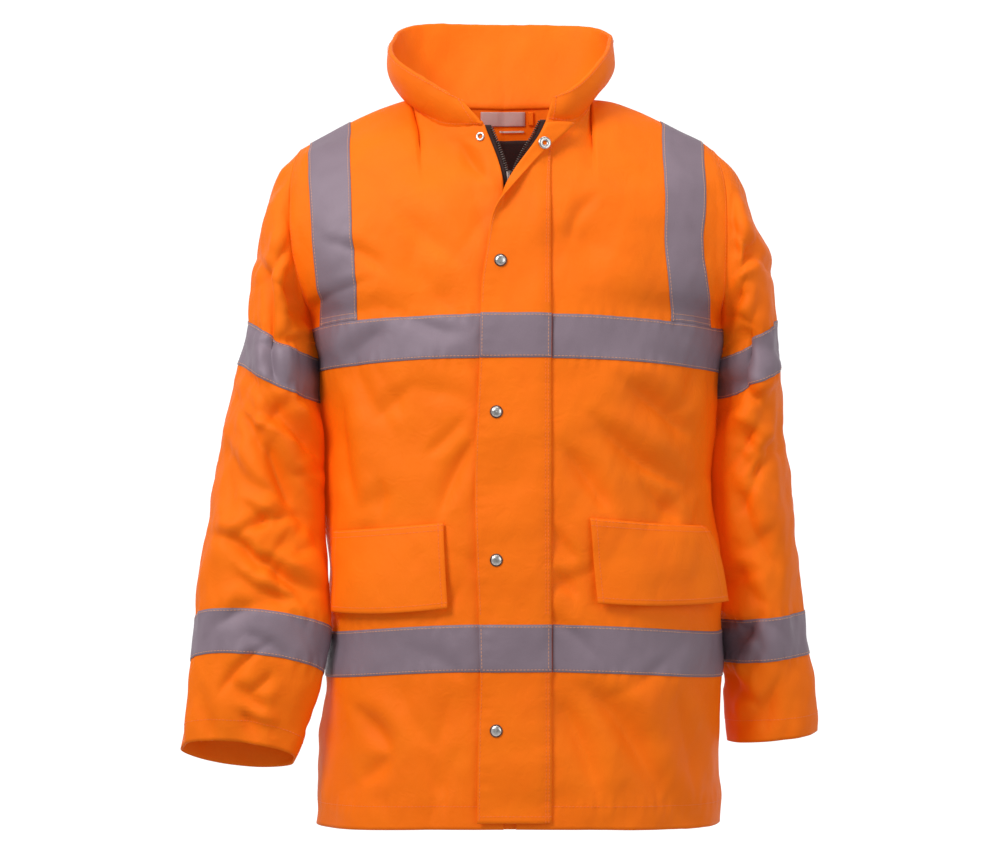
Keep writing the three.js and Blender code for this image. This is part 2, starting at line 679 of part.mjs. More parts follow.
// Storm flap: from its seam on the left front across the zip, its top corner turned back.
const BODY_INSIDE = new THREE.Vector3(10, 0, -400);
function onFront(x, z) {
  const x0 = Math.max(x, ZIP_EDGE_LEFT);
  const place = onBody("front", "left", x0, z);
  place.position.x = x;
  return place;
}
function flapPath(row) {
  const fold = row.edgeX + row.beyond * (1 - row.turned);
  const path = range(0, FLAP_MAIN_STEPS).map((step) => {
    const t = step / FLAP_MAIN_STEPS;
    const x = mix(FLAP_SEAM_X, Math.min(fold, FLAP_SEAM_X - 2), t);
    const rise = THREE.MathUtils.smoothstep(FLAP_SEAM_X - x, 0, FLAP_RISE);
    return { x, out: mix(FLAP_SEAM_LIFT, FLAP_LIFT, rise) };
  });
  const turn = Math.PI * row.turned;
  let { x, out } = path[path.length - 1];
  const lengths = [FLAP_TURN / 3, FLAP_TURN / 3, FLAP_TURN / 3];
  const rest = (row.beyond - (FLAP_TURN / 3)) / (FLAP_BEYOND_STEPS - lengths.length);
  while (lengths.length < FLAP_BEYOND_STEPS) lengths.push(rest);
  lengths.forEach((length, i) => {
    const angle = turn * Math.min((i + 0.5) / 3, 1);
    x -= length * Math.cos(angle);
    out += length * Math.sin(angle);
    path.push({ x, out });
  });
  return path;
}
function stormFlapGrid() {
  const rows = STORM_FLAP.map((row) => flapPath(row).map(({ x, out }) => {
    const place = onFront(x, row.z);
    return place.position.addScaledVector(place.normal, out);
  }));
  return ownGrid(rows, BODY_INSIDE);
}
const stormFlap = stormFlapGrid();
add("storm_flap", wall(stormFlap, 0, FLAP_CLOTH, 0), orange);
["chest", "waist"].forEach((place) => {
  const levelOf = (name) => BODY_ROWS.find((row) => row.name === `${place}_tape_${name}`).level;
  const rowAt = (level) => STORM_FLAP.findIndex((row) => row.z === level);
  const lift = FLAP_CLOTH + TAPE_LIFT;
  const grid = stormFlap.slice(rowAt(levelOf("top")), rowAt(levelOf("low")) + 1);
  add(`${place}_tape_storm_flap`, wall(grid, lift, lift + TAPE), tapeGrey);
});

// Pocket flaps, sewn on along the top and hanging free below
POCKET_FLAPS.forEach((flap) => {
  const points = range(0, POCKET_ROWS).map((row) => range(0, POCKET_COLUMNS).map((column) => {
    const down = row / POCKET_ROWS;
    const across = column / POCKET_COLUMNS;
    const x = mix(mix(flap.innerX, flap.lowInnerX, down), mix(flap.outerX, flap.lowOuterX, down),
      across);
    const z = mix(mix(flap.innerTop, flap.innerLow, down), mix(flap.outerTop, flap.outerLow, down),
      across);
    const off = mix(flap.innerOff, flap.outerOff, across ** 3);
    const { position, normal } = onBody("front", flap.side, x, z);
    return position.addScaledVector(normal, POCKET_TOP_LIFT + off * Math.sqrt(down));
  }));
  add(`pocket_flap_${flap.side}`, wall(ownGrid(points, BODY_INSIDE), 0, FLAP_CLOTH, 0), orange);
});

// Zip tapes behind the front edges, and the slider at the foot of the open neck
["right", "left"].forEach((hand) => {
  const inwards = hand === "right" ? -1 : 1;
  const grid = body[hand].map((row) => {
    const [edge, next] = hand === "right" ? row : [row[COLUMNS], row[COLUMNS - 1]];
    const share = ZIP_TAPE_IN / edge.position.distanceTo(next.position);
    const free = edge.position.clone().setX(edge.position.x - inwards * ZIP_TAPE_OUT);
    return [
      { position: free, normal: edge.normal },
      edge,
      {
        position: edge.position.clone().lerp(next.position, share),
        normal: edge.normal.clone().lerp(next.normal, share),
      },
    ];
  });
  const nearest = -CLOTH - ZIP_TAPE_LIFT;
  add(`zip_tape_${hand}`, wall(grid, nearest - ZIP_TAPE, nearest), dark);
});
const slider = add("zip_slider",
  new THREE.BoxGeometry(SLIDER.width, SLIDER.depth, SLIDER.height), silver);
slider.position.set(
  SLIDER.x,
  onFront(SLIDER.x, SLIDER.z).position.y + CLOTH + FITTING_LIFT - SLIDER.depth / 2 - SLIDER.clear,
  SLIDER.z,
);

// Press studs: caps on the storm flap, an open socket on its turned corner and a post ring
// on the right front.
function onSurface(mesh, position, normal) {
  mesh.position.copy(position);
  mesh.quaternion.setFromUnitVectors(new THREE.Vector3(0, 1, 0), normal);
}
function lathe(profile) {
  return new THREE.LatheGeometry(profile.map(([x, y]) => new THREE.Vector2(x, y)), ROUND_SIDES);
}
STUDS.forEach((stud, i) => {
  const cap = add(`stud_cap_${i + 1}`, lathe([
    [0, 0], [STUD_RADIUS, 0], [STUD_RADIUS, STUD_HEIGHT / 3],
    [STUD_RADIUS * 0.7, STUD_HEIGHT * 0.85], [0, STUD_HEIGHT],
  ]), silver);
  const { position, normal } = onFront(stud.x, stud.z);
  onSurface(cap, position.addScaledVector(normal, FLAP_LIFT + FLAP_CLOTH + FITTING_LIFT), normal);
});
function ringGeometry(radius) {
  return lathe([
    [RING_HOLE, 0], [radius, 0], [radius, RING_HEIGHT / 2],
    [(radius + RING_HOLE) / 2, RING_HEIGHT], [RING_HOLE, RING_HEIGHT / 2], [RING_HOLE, 0],
  ]);
}
const post = add("stud_post", ringGeometry(RING_RADIUS), silver);
const postPlace = onBody("front", "right", STUD_POST.x, STUD_POST.z);
onSurface(post, postPlace.position.addScaledVector(postPlace.normal, 2 * FITTING_LIFT),
  postPlace.normal);
const socket = add("stud_socket", ringGeometry(STUD_RADIUS), silver);
const socketRow = stormFlap[SOCKET.row];
const socketPlace = socketRow[socketRow.length - 1 - SOCKET.fromEdge];
onSurface(socket, socketPlace.position.clone()
  .addScaledVector(socketPlace.normal, -FITTING_LIFT), socketPlace.normal.clone().negate());

// What shows inside the neck: the lining, the bare label and the hanging loop
function fittingInside({ fromX, toX, top, low, thick }) {
  const points = range(0, 2).map((row) => range(0, 4).map((column) => {
    const x = mix(fromX, toX, column / 4);
    const { position, normal } = onBody("back", x < -5 ? "right" : "left", x, mix(top, low, row / 2));
    return position.addScaledVector(normal, -CLOTH - 2 * FITTING_LIFT);
  }));
  return wall(ownGrid(points, BODY_INSIDE), -thick, 0, 0);
}
add("label", fittingInside(LABEL), labelPink);
add("hanger_loop", fittingInside(LOOP), orange);
const liningRows = body.back.slice(rowIndex("upper_chest"), TOP_ROW);
const lining = liningRows.map((row) => (
  row.slice(COLUMNS - LINING.columns, COLUMNS + LINING.columns + 1)
));
add("lining_back", wall(lining, -CLOTH - FITTING_LIFT - LINING.thick, -CLOTH - FITTING_LIFT),
  dark);

export default jacket;
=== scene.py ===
"""A hi-vis work jacket, filled out as if worn: cloth shells, reflective tape, sewing, zip and studs."""

import logging
import math
from dataclasses import dataclass, field
from enum import Enum
from typing import Callable, Optional, Sequence

import bpy
import numpy as np
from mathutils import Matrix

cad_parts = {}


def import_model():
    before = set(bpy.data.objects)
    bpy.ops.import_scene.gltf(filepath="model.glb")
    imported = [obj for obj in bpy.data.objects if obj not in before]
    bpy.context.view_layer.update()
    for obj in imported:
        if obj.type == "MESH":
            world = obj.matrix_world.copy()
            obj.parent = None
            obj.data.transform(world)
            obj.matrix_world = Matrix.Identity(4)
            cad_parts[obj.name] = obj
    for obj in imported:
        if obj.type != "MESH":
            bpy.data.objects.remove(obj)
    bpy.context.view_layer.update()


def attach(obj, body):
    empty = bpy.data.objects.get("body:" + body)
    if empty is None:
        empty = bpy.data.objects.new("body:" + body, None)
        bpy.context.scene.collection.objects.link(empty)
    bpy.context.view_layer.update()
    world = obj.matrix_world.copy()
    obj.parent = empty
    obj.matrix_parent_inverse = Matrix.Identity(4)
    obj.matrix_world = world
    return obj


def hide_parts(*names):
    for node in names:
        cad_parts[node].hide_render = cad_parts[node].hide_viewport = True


LOG = logging.getLogger("jacket")
MM = 0.001
BODY = "root"

# Cloth, tape and gaps, in millimetres
CLOTH = 2.4
TAPE_LIFT = 0.25
TAPE = 0.7
COLLAR_WALL = 4.0
FLAP_CLOTH = 1.8
SEAM_GAP = 0.12
THREAD = 0.32
THREAD_LIFT = 0.12
STITCH = 3.2
STITCH_PITCH = 3.9
HEM_STITCHES = 24

# Body shape
SQUARENESS = 0.87
SIDE_DROP = 2.2
ZIP_EDGE_RIGHT = -4.0
ZIP_EDGE_LEFT = 9.0
FLAP_SEAM_X = 46.4
TAPE_FROM_SEAM = 1.0
TOP_LEVEL = 0.0
BEYOND_TOP = 110.0
COLUMNS = 12
NECK_COLUMN = 4
SEAM_COLUMN = 2
BRACE_IN = 7
BRACE_OUT = 9
RING_SIDES = 16
FLAP_LIFT = 3.4
FLAP_SEAM_LIFT = 0.6
FLAP_RISE = 14.0
FLAP_TURN = 8.0

# Fineness of the shells
COLUMN_PARTS = 9
ROW_STEP = 4.2


class Hand(Enum):
    """The wearer's right or left."""

    RIGHT = "right"
    LEFT = "left"


class Face(Enum):
    """The front or the back of the body."""

    FRONT = "front"
    BACK = "back"


@dataclass(frozen=True)
class Table:
    """Numbers in rows under named columns."""

    columns: str
    rows: tuple[tuple[float, ...], ...]

    def column(self, name: str) -> np.ndarray:
        """Returns one named column as an array."""
        return np.array([row[self.columns.split().index(name)] for row in self.rows], float)

    def points(self) -> np.ndarray:
        """Returns the x, y and z columns side by side."""
        return np.stack([self.column(axis) for axis in "xyz"], axis=-1)


BODY_ROW_NAMES = (
    "hem", "hip", "waist_tape_low", "waist_tape_top", "pocket", "belly", "lower_chest",
    "chest_tape_low", "chest_tape_top", "armpit", "armhole_low", "upper_chest", "yoke",
)
BODY_ROWS = Table(
    "level sideZ frontY backZ backY rightX leftX frontSideY backSideY turn braceIn braceOut steps",
    (
        (-790, -802, -152, -800, 126, -211, 236, 8, 8, 90, 0.737, 0.943, 2),
        (-700, -708, -150, -706, 122, -206, 236, 8, 8, 90, 0.737, 0.943, 2),
        (-624, -640, -148, -636, 118, -202, 237, 8, 8, 90, 0.737, 0.943, 1),
        (-574, -590, -147, -586, 116, -199, 237, 8, 8, 90, 0.737, 0.943, 2),
        (-520, -528, -146, -526, 112, -197, 234, 8, 8, 90, 0.737, 0.943, 2),
        (-455, -460, -144, -460, 108, -200, 226, 8, 8, 90, 0.737, 0.943, 2),
        (-380, -388, -141, -388, 110, -203, 223, 8, 8, 90, 0.737, 0.943, 2),
        (-292, -305, -136, -303, 118, -209, 231, 8, 8, 90, 0.737, 0.943, 1),
        (-245, -258, -131, -256, 121, -214, 236, 8, 8, 90, 0.737, 0.943, 1),
        (-238, -250, -130, -248, 122, -215, 236, 8, 8, 88, 0.735, 0.94, 1),
        (-212, -226, -126, -222, 123, -222, 237, -46, 60, 75, 0.719, 0.92, 2),
        (-170, -178, -118, -178, 124, -234, 239, -62, 74, 66, 0.699, 0.891, 2),
        (-108, -112, -101, -112, 114, -238, 240, -44, 62, 62, 0.703, 0.9, 3),
    ),
)
NECKLINE = {
    Hand.RIGHT: Table("at x y z", (
        (0, -25, -84, -39), (0.385, -72, -58, -36), (0.785, -104, -20, -9), (1, -107, 10, 0))),
    Hand.LEFT: Table("at x y z", (
        (0, 43, -80, -33), (0.385, 74, -58, -33), (0.785, 92, -20, -8), (1, 92, 10, 0))),
}
BACK_NECKLINE = {
    Hand.RIGHT: Table("at x y z", ((0, -5, 92, 0), (0.6, -75, 74, 1), (1, -107, 10, 0))),
    Hand.LEFT: Table("at x y z", ((0, -5, 92, 0), (0.6, 68, 74, 1), (1, 92, 10, 0))),
}
SHOULDER = {
    Hand.RIGHT: Table("at x y z", (
        (4, -107, 10, 0), (5, -130, 10, -7.5), (6, -152, 10, -16), (7, -174, 11, -26),
        (8, -197, 11, -38), (9, -219, 12, -50), (12, -230, 12, -57))),
    Hand.LEFT: Table("at x y z", (
        (4, 92, 10, 0), (5, 118, 10, -3.5), (6, 144, 10, -13), (7, 170, 11, -26),
        (8, 193, 11, -38), (9, 216, 12, -49), (12, 230, 12, -58))),
}
COLLAR = Table("at x y z bulge", (
    (0, -48.6, -80, -12, 0), (0.9, -70, -78, 0, 2), (1.6, -90, -72, 12.6, 4),
    (3, -125, -35, 41.5, 8), (4.3, -131, 28, 68, 9), (6, -108, 105, 95, 6),
    (8, -5, 128, 99, 4), (10, 100, 105, 93, 6), (11.7, 117, 28, 68, 14),
    (13, 101, -35, 37, 10), (14.4, 76, -72, 6, 4), (16, 48.6, -80, -9, 0),
))
SLEEVE_RING_NAMES = (
    "head", "below_head", "upper_tape_top", "upper_tape_low", "above_elbow", "elbow",
    "below_elbow", "lower_tape_top", "lower_tape_low", "wrist", "cuff",
)
SLEEVES = {
    Hand.RIGHT: Table("outX outZ inX inZ midY halfY lift", (
        (-262, -104, -219, -263, 8, 82, 0), (-276, -165, -219, -277, 2, 84, 0),
        (-287, -248, -217, -291, -4, 80, 0), (-296, -297, -213, -340, -12, 76, 0),
        (-313, -369, -207, -408, -24, 70, 0), (-328, -467, -204, -492, -42, 62, 4),
        (-336, -536, -200, -550, -54, 52, 12), (-340, -571, -196, -584, -60, 47, 17),
        (-345, -621, -200, -634, -64, 43, 19), (-348, -673, -216, -688, -68, 38, 19),
        (-354, -714, -228, -726, -70, 34, 17))),
    Hand.LEFT: Table("outX outZ inX inZ midY halfY lift", (
        (264, -106, 240, -263, 10, 80, 0), (284, -160, 241, -277, 14, 82, 0),
        (298, -247, 241, -291, 20, 80, 0), (304, -298, 237, -335, 26, 78, 0),
        (310, -369, 231, -396, 32, 76, 0), (323, -469, 233, -485, 38, 73, 0),
        (331, -536, 240, -546, 40, 70, 0), (334, -571, 243, -580, 41, 68, 0),
        (339, -619, 244, -628, 41, 66, 0), (346, -670, 245, -678, 41, 62, 0),
        (348, -706, 247, -718, 40, 58, 0))),
}
STORM_FLAP = Table("z edgeX beyond turned", (
    (-36, 41, 36, 1), (-62, 27, 27, 1), (-86, 12, 21, 1), (-110, -3, 17, 0.8),
    (-140, -15, 13, 0.25), (-177, -22, 12, 0), (-210, -27, 12, 0), (-245, -28.5, 12, 0),
    (-292, -29.5, 12, 0), (-358, -32.5, 12, 0), (-421, -34.5, 12, 0), (-506, -32.7, 12, 0),
    (-574, -30, 12, 0), (-624, -29, 12, 0), (-706, -31, 12, 0), (-783, -32, 12, 0),
))
STUDS = Table("x z", ((-7.4, -188), (-11.6, -350), (-11.6, -508), (-11.6, -684)))
POCKET_FLAPS = {
    Hand.RIGHT: (-67, -184, -467, -478, -557, -566, -62, -182, 5, 5),
    Hand.LEFT: (86, 214, -462, -474, -552, -556, 94, 226, 5, 17),
}

CREASE_DEPTH = 1.6

# Small creases strewn over a face: the seed, how many, the length, the height and the width
BODY_STREWN = (61, 46, 95, -1.7, 17)
SLEEVE_STREWN = (71, 44, 75, -3.0, 13)
BODY_BOX = (-215, 235, -770, -130)
SLEEVE_BOX_MARGIN = 20
SLEEVE_BOX_HEIGHT = (-690, -150)

# Puckers along seams: the height, the distance from wave to wave and how far they reach
BODY_TAPE_PUCKER = (0.42, 13, 9)
HEM_PUCKER = (0.45, 12, 10)
HEM_PUCKER_UP = 26
SLEEVE_TAPE_PUCKER = (0.6, 12, 10)
FLAP_SEAM_PUCKER = (0.25, 12, 6)
FLAP_EDGE_PUCKER = (0.3, 14, 8)
FLAP_STITCH_X = 41.5
FLAP_EDGE_IN = 8

# How far the arms and the body's sides press out towards each other, and between which levels
SLEEVE_PRESS = 6.6
BODY_PRESS = 2.6
ARMPIT_PRESS = 4.6
ARMPIT_PRESS_AT = (284, 34)
ARM_PRESS_TOP = (238, 268)
ARM_PRESS_LOW = (560, 640)

# Creases on the front view in millimetres: a path of three places, the height of the soft ridge (below zero
# for a trough), the width, and how much one side rises beside it.
CREASE_WORDS = "x0 z0 x1 z1 x2 z2 height width lean"
BODY_CREASES = {
    Face.FRONT: Table(CREASE_WORDS, (
        (124, -316, 165, -345, 204, -378, -8, 24, 0.5), (92, -356, 150, -405, 198, -425, -8, 22, 0.5),
        (144, -418, 165, -446, 192, -466, -6, 18, 0.4), (60, -388, 86, -420, 108, -458, -6, 20, 0.4),
        (48, -470, 62, -492, 74, -508, -3, 12, 0.3), (48, -512, 60, -530, 76, -545, -3, 12, 0.3),
        (-36, -380, -58, -418, -72, -458, -5, 18, 0.4), (-46, -356, -66, -378, -86, -394, -3, 14, 0.3),
        (-178, -339, -176, -400, -160, -452, -5, 20, 0.3), (-138, -420, -134, -440, -139, -462, -3, 14, 0),
        (54, -655, 78, -700, 98, -765, -5, 22, 0.4), (88, -644, 128, -690, 166, -766, -8, 26, 0.5),
        (180, -650, 196, -700, 205, -760, -5, 20, 0.3), (-166, -665, -140, -690, -124, -712, -6, 24, 0.4),
        (-124, -712, -140, -730, -158, -745, -4, 20, 0.3), (-60, -650, -72, -700, -66, -760, -3, 22, 0.2),
        (-52, -58, -40, -78, -22, -100, -4, 13, 0.6), (66, -110, 84, -150, 90, -215, -2, 34, 0.2),
        (-80, -110, -98, -160, -96, -225, -2, 34, 0.2), (-170, -270, -150, -330, -120, -372, -3, 20, 0.3),
        (180, -470, 150, -520, 130, -560, -3, 20, 0.2), (205, -300, 196, -330, 180, -350, -4, 16, 0.4))),
    Face.BACK: Table(CREASE_WORDS, (
        (120, -330, 70, -390, 20, -440, -8, 28, 0.4), (-110, -340, -70, -390, -30, -430, -7, 26, 0.4),
        (-90, -640, -112, -700, -130, -764, -8, 28, 0.4), (70, -650, 92, -710, 110, -770, -7, 26, 0.4),
        (160, -420, 130, -470, 90, -510, -5, 22, 0.3), (-160, -440, -120, -480, -90, -530, -5, 22, 0.3),
        (0, -470, 10, -510, 4, -560, -4, 20, 0.2), (150, -150, 140, -190, 120, -230, -4, 22, 0.3),
        (-150, -150, -140, -190, -122, -230, -4, 22, 0.3), (20, -650, 10, -710, 16, -770, -4, 24, 0.2))),
}
SLEEVE_CREASES = {
    Hand.RIGHT: {
        Face.FRONT: Table(CREASE_WORDS, (
            (-232, -188, -226, -220, -220, -258, -8, 15, 0.7),
            (-262, -196, -256, -260, -250, -322, -6, 14, 0.5),
            (-262, -378, -232, -440, -196, -503, -10, 20, 0.6),
            (-236, -326, -222, -360, -206, -398, 6, 13, 0.4),
            (-272, -366, -252, -366, -212, -404, 5, 12, 0.5),
            (-262, -318, -234, -364, -212, -402, -6, 14, 0.5),
            (-284, -446, -268, -460, -256, -474, -4, 12, 0.5),
            (-318, -482, -290, -492, -266, -518, -6, 15, 0.6),
            (-292, -520, -268, -540, -222, -552, -6, 15, 0.6),
            (-274, -500, -240, -528, -196, -544, -6, 15, 0.5),
            (-296, -640, -276, -656, -258, -672, -5, 15, 0.5),
            (-252, -628, -262, -640, -276, -650, -4, 12, 0.4),
            (-304, -250, -288, -300, -280, -350, -3, 20, 0.2),
            (-330, -640, -322, -680, -312, -708, -3, 16, 0.2),
            (-316, -380, -304, -420, -300, -460, -3, 20, 0.3))),
        Face.BACK: Table(CREASE_WORDS, (
            (-300, -420, -262, -460, -225, -500, -8, 22, 0.5),
            (-316, -500, -280, -530, -230, -548, -6, 18, 0.5),
            (-270, -160, -262, -200, -250, -240, -5, 20, 0.3),
            (-310, -640, -280, -664, -250, -690, -4, 18, 0.3),
            (-296, -340, -270, -380, -240, -410, -5, 20, 0.4))),
    },
    Hand.LEFT: {
        Face.FRONT: Table(CREASE_WORDS, (
            (268, -258, 254, -310, 226, -373, -10, 20, 0.6), (248, -108, 240, -150, 244, -198, -6, 15, 0.5),
            (272, -160, 264, -180, 246, -198, -5, 10, 0.7), (260, -202, 252, -220, 244, -242, -4, 12, 0.5),
            (268, -582, 258, -594, 250, -606, -5, 12, 0.5), (254, -430, 270, -480, 298, -520, -5, 22, 0.4),
            (262, -380, 280, -410, 304, -430, -3, 18, 0.3), (300, -640, 290, -670, 284, -704, -3, 18, 0.3),
            (250, -520, 262, -545, 288, -560, -4, 16, 0.4))),
        Face.BACK: Table(CREASE_WORDS, (
            (290, -400, 270, -450, 250, -500, -7, 24, 0.4), (300, -500, 280, -530, 256, -548, -5, 18, 0.4),
            (270, -160, 262, -200, 252, -240, -5, 20, 0.3), (320, -640, 296, -664, 270, -690, -4, 18, 0.3))),
    },
}


def mix(start: float, end: float, share: float) -> float:
    """Returns the value that lies at a share of the way from start to end; arrays work too."""
    return start + (end - start) * share


def ease(value: np.ndarray, low: float, high: float) -> np.ndarray:
    """Rises smoothly from 0 to 1.

    Args:
        value: Where to read the rise.
        low: The place where it starts.
        high: The place where it ends.

    Returns:
        The height of the rise at each value.
    """
    share = np.clip((value - low) / (high - low), 0, 1)
    return share * share * (3 - 2 * share)


def unit(ways: np.ndarray) -> np.ndarray:
    """Returns ways at length one."""
    return ways / np.maximum(np.linalg.norm(ways, axis=-1, keepdims=True), 1e-9)


def curve(places: np.ndarray, values: np.ndarray, at: np.ndarray) -> np.ndarray:
    """Reads smooth curves through values at increasing places.

    Args:
        places: The n places.
        values: Values of shape (n, width), or (n, count, width) with a curve for each place read.
        at: The places to read.

    Returns:
        The values of shape (count, width).
    """
    places = np.asarray(places, float)
    at = np.asarray(at, float)
    table = values if values.ndim == 3 else values[:, None, :]
    spans = np.diff(places)
    slopes = np.diff(table, axis=0) / spans[:, None, None]
    middle = (slopes[:-1] * spans[1:, None, None] + slopes[1:] * spans[:-1, None, None])
    middle = middle / (spans[:-1] + spans[1:])[:, None, None]
    slopes = np.concatenate([slopes[:1], middle, slopes[-1:]])
    i = np.searchsorted(places[1:-1], at, side="left")
    which = np.arange(len(at)) if table.shape[1] > 1 else np.zeros(len(at), int)
    span = spans[i][:, None]
    raw = (at - places[i])[:, None] / span
    t = np.clip(raw, 0, 1)
    low, high = table[i, which], table[i + 1, which]
    slope_low, slope_high = slopes[i, which], slopes[i + 1, which]
    rise = t * t * (3 - 2 * t)
    bend = slope_low * span * t * (1 - t) ** 2 - slope_high * span * t * t * (1 - t)
    beyond = np.minimum(raw, 0) * span * slope_low + np.maximum(raw - 1, 0) * span * slope_high
    return low * (1 - rise) + high * rise + bend + beyond


def nearest(values: np.ndarray, value: float) -> int:
    """Returns the number of the value that is nearest to another."""
    return int(np.argmin(np.abs(values - value)))


def level_of(name: str) -> float:
    """Returns the level of a named body row."""
    return BODY_ROWS.rows[BODY_ROW_NAMES.index(name)][0]


def along(table: Table, at: np.ndarray) -> np.ndarray:
    """Returns points on the smooth curve through a table's points."""
    return curve(table.column("at"), table.points(), np.asarray(at, float))


class BodyForm:
    """The body's outer face as smooth surfaces over a column and a level."""

    def __init__(self) -> None:
        """Reads the body's rows into named columns."""
        names = BODY_ROWS.columns.split()
        self.rows = [dict(zip(names, row)) for row in BODY_ROWS.rows]
        self.levels = BODY_ROWS.column("level")

    def reach(self, row: dict[str, float], column: np.ndarray) -> np.ndarray:
        """Tells how far towards the side each column lies.

        Args:
            row: One of the body's rows.
            column: Columns from the middle, 0, to the side, 12.

        Returns:
            The reach, from 0 to 1.
        """
        seam = (FLAP_SEAM_X + TAPE_FROM_SEAM - ZIP_EDGE_LEFT) / (row["leftX"] - ZIP_EDGE_LEFT)
        brace_in, brace_out = row["braceIn"], row["braceOut"]
        turn = math.radians(row["turn"])
        start = math.asin(brace_out ** (1 / SQUARENESS) * math.sin(turn))
        share = np.clip((column - BRACE_OUT) / (COLUMNS - BRACE_OUT), 0, 1)
        outer = (np.sin(mix(start, turn, share)) / math.sin(turn)) ** SQUARENESS
        return np.select(
            [column <= SEAM_COLUMN, column <= BRACE_IN, column <= BRACE_OUT],
            [
                seam * column / SEAM_COLUMN,
                mix(seam, brace_in, (column - SEAM_COLUMN) / (BRACE_IN - SEAM_COLUMN)),
                mix(brace_in, brace_out, (column - BRACE_IN) / (BRACE_OUT - BRACE_IN)),
            ],
            outer,
        )

    def row_points(self, row: dict[str, float], face: Face, hand: Hand, column: np.ndarray) -> np.ndarray:
        """Finds the points of one row at some columns.

        Args:
            row: One of the body's rows.
            face: The front or the back.
            hand: The wearer's right or left.
            column: Columns from the middle to the side.

        Returns:
            A point for each column.
        """
        front = face is Face.FRONT
        side_x = row["rightX"] if hand is Hand.RIGHT else row["leftX"]
        zip_x = ZIP_EDGE_RIGHT if hand is Hand.RIGHT else ZIP_EDGE_LEFT
        centre_x = zip_x if front else (row["rightX"] + row["leftX"]) / 2
        centre_y = row["frontY"] if front else row["backY"]
        centre_z = row["level"] if front else row["backZ"]
        side_y = row["frontSideY"] if front else row["backSideY"]
        reach = self.reach(row, column)
        inside = np.maximum(reach, 0)
        turn = math.radians(row["turn"])
        angle = np.arcsin(np.minimum(inside ** (1 / SQUARENESS) * math.sin(turn), 1))
        deep = (1 - np.cos(angle) ** SQUARENESS) / (1 - math.cos(turn) ** SQUARENESS)
        return np.stack(
            [
                mix(centre_x, side_x, reach),
                mix(centre_y, side_y, np.minimum(deep, 1)),
                mix(centre_z, row["sideZ"], inside ** SIDE_DROP),
            ],
            axis=-1,
        )

    def top_points(self, face: Face, hand: Hand, column: np.ndarray) -> np.ndarray:
        """Finds the points of the neckline and the shoulder seam at some columns.

        Args:
            face: The face.
            hand: The side.
            column: The columns.

        Returns:
            The points, as their tables give them.
        """
        neckline = NECKLINE[hand] if face is Face.FRONT else BACK_NECKLINE[hand]
        neck = along(neckline, column / NECK_COLUMN)
        table = SHOULDER[hand].points()
        share = np.clip((column - BRACE_OUT) / (COLUMNS - BRACE_OUT), 0, 1)[:, None]
        tip = mix(table[-2], table[-1], share)
        shoulder = np.where((column > BRACE_OUT)[:, None], tip, along(SHOULDER[hand], column))
        return np.where((column >= NECK_COLUMN)[:, None], shoulder, neck)

    def points(self, face: Face, hand: Hand, column: np.ndarray, level: np.ndarray) -> np.ndarray:
        """Finds places on the body's outer face, a column and a level for each.

        Args:
            face: The front or the back.
            hand: The wearer's right or left.
            column: Columns from the middle, 0, to the side, 12.
            level: Levels from the hem up to 0 at the top edge.

        Returns:
            A point for each pair.
        """
        column = np.asarray(column, float)
        yoke = self.rows[-1]
        other = Face.BACK if face is Face.FRONT else Face.FRONT
        top = self.top_points(face, hand, column)
        over = self.row_points(yoke, other, hand, column)
        mirrored = 2 * top - self.row_points(yoke, face, hand, column)
        onwards = np.where((column >= NECK_COLUMN)[:, None], over, mirrored)
        rows = [self.row_points(row, face, hand, column) for row in self.rows]
        places = np.array([*self.levels, TOP_LEVEL, BEYOND_TOP])
        return curve(places, np.stack([*rows, top, onwards]), np.asarray(level, float))

    def seen(self, face: Face, hand: Hand, x: np.ndarray, z: np.ndarray) -> tuple[np.ndarray, np.ndarray]:
        """Finds the places on a face that show at x and z from the front.

        Args:
            face: The front or the back.
            hand: The wearer's right or left.
            x: Across, in millimetres.
            z: Up, in millimetres.

        Returns:
            The points and the ways out from them.
        """
        nudge = 0.01
        column = np.full(len(x), float(NECK_COLUMN))
        level = np.array(z, float)
        for _ in range(14):
            here = self.points(face, hand, column, level)
            across = (self.points(face, hand, column + nudge, level) - here) / nudge
            up = (self.points(face, hand, column, level + nudge) - here) / nudge
            miss_x, miss_z = x - here[:, 0], z - here[:, 2]
            scale = across[:, 0] * up[:, 2] - across[:, 2] * up[:, 0]
            column = column + np.clip((miss_x * up[:, 2] - miss_z * up[:, 0]) / scale, -2, 2)
            level = level + np.clip((across[:, 0] * miss_z - across[:, 2] * miss_x) / scale, -60, 60)
        here = self.points(face, hand, column, level)
        across = self.points(face, hand, column + nudge, level) - here
        up = self.points(face, hand, column, level + nudge) - here
        normal = unit(np.cross(across, up))
        wrong = (normal[:, 1] > 0) == (face is Face.FRONT)
        return here, np.where(wrong[:, None], -normal, normal)


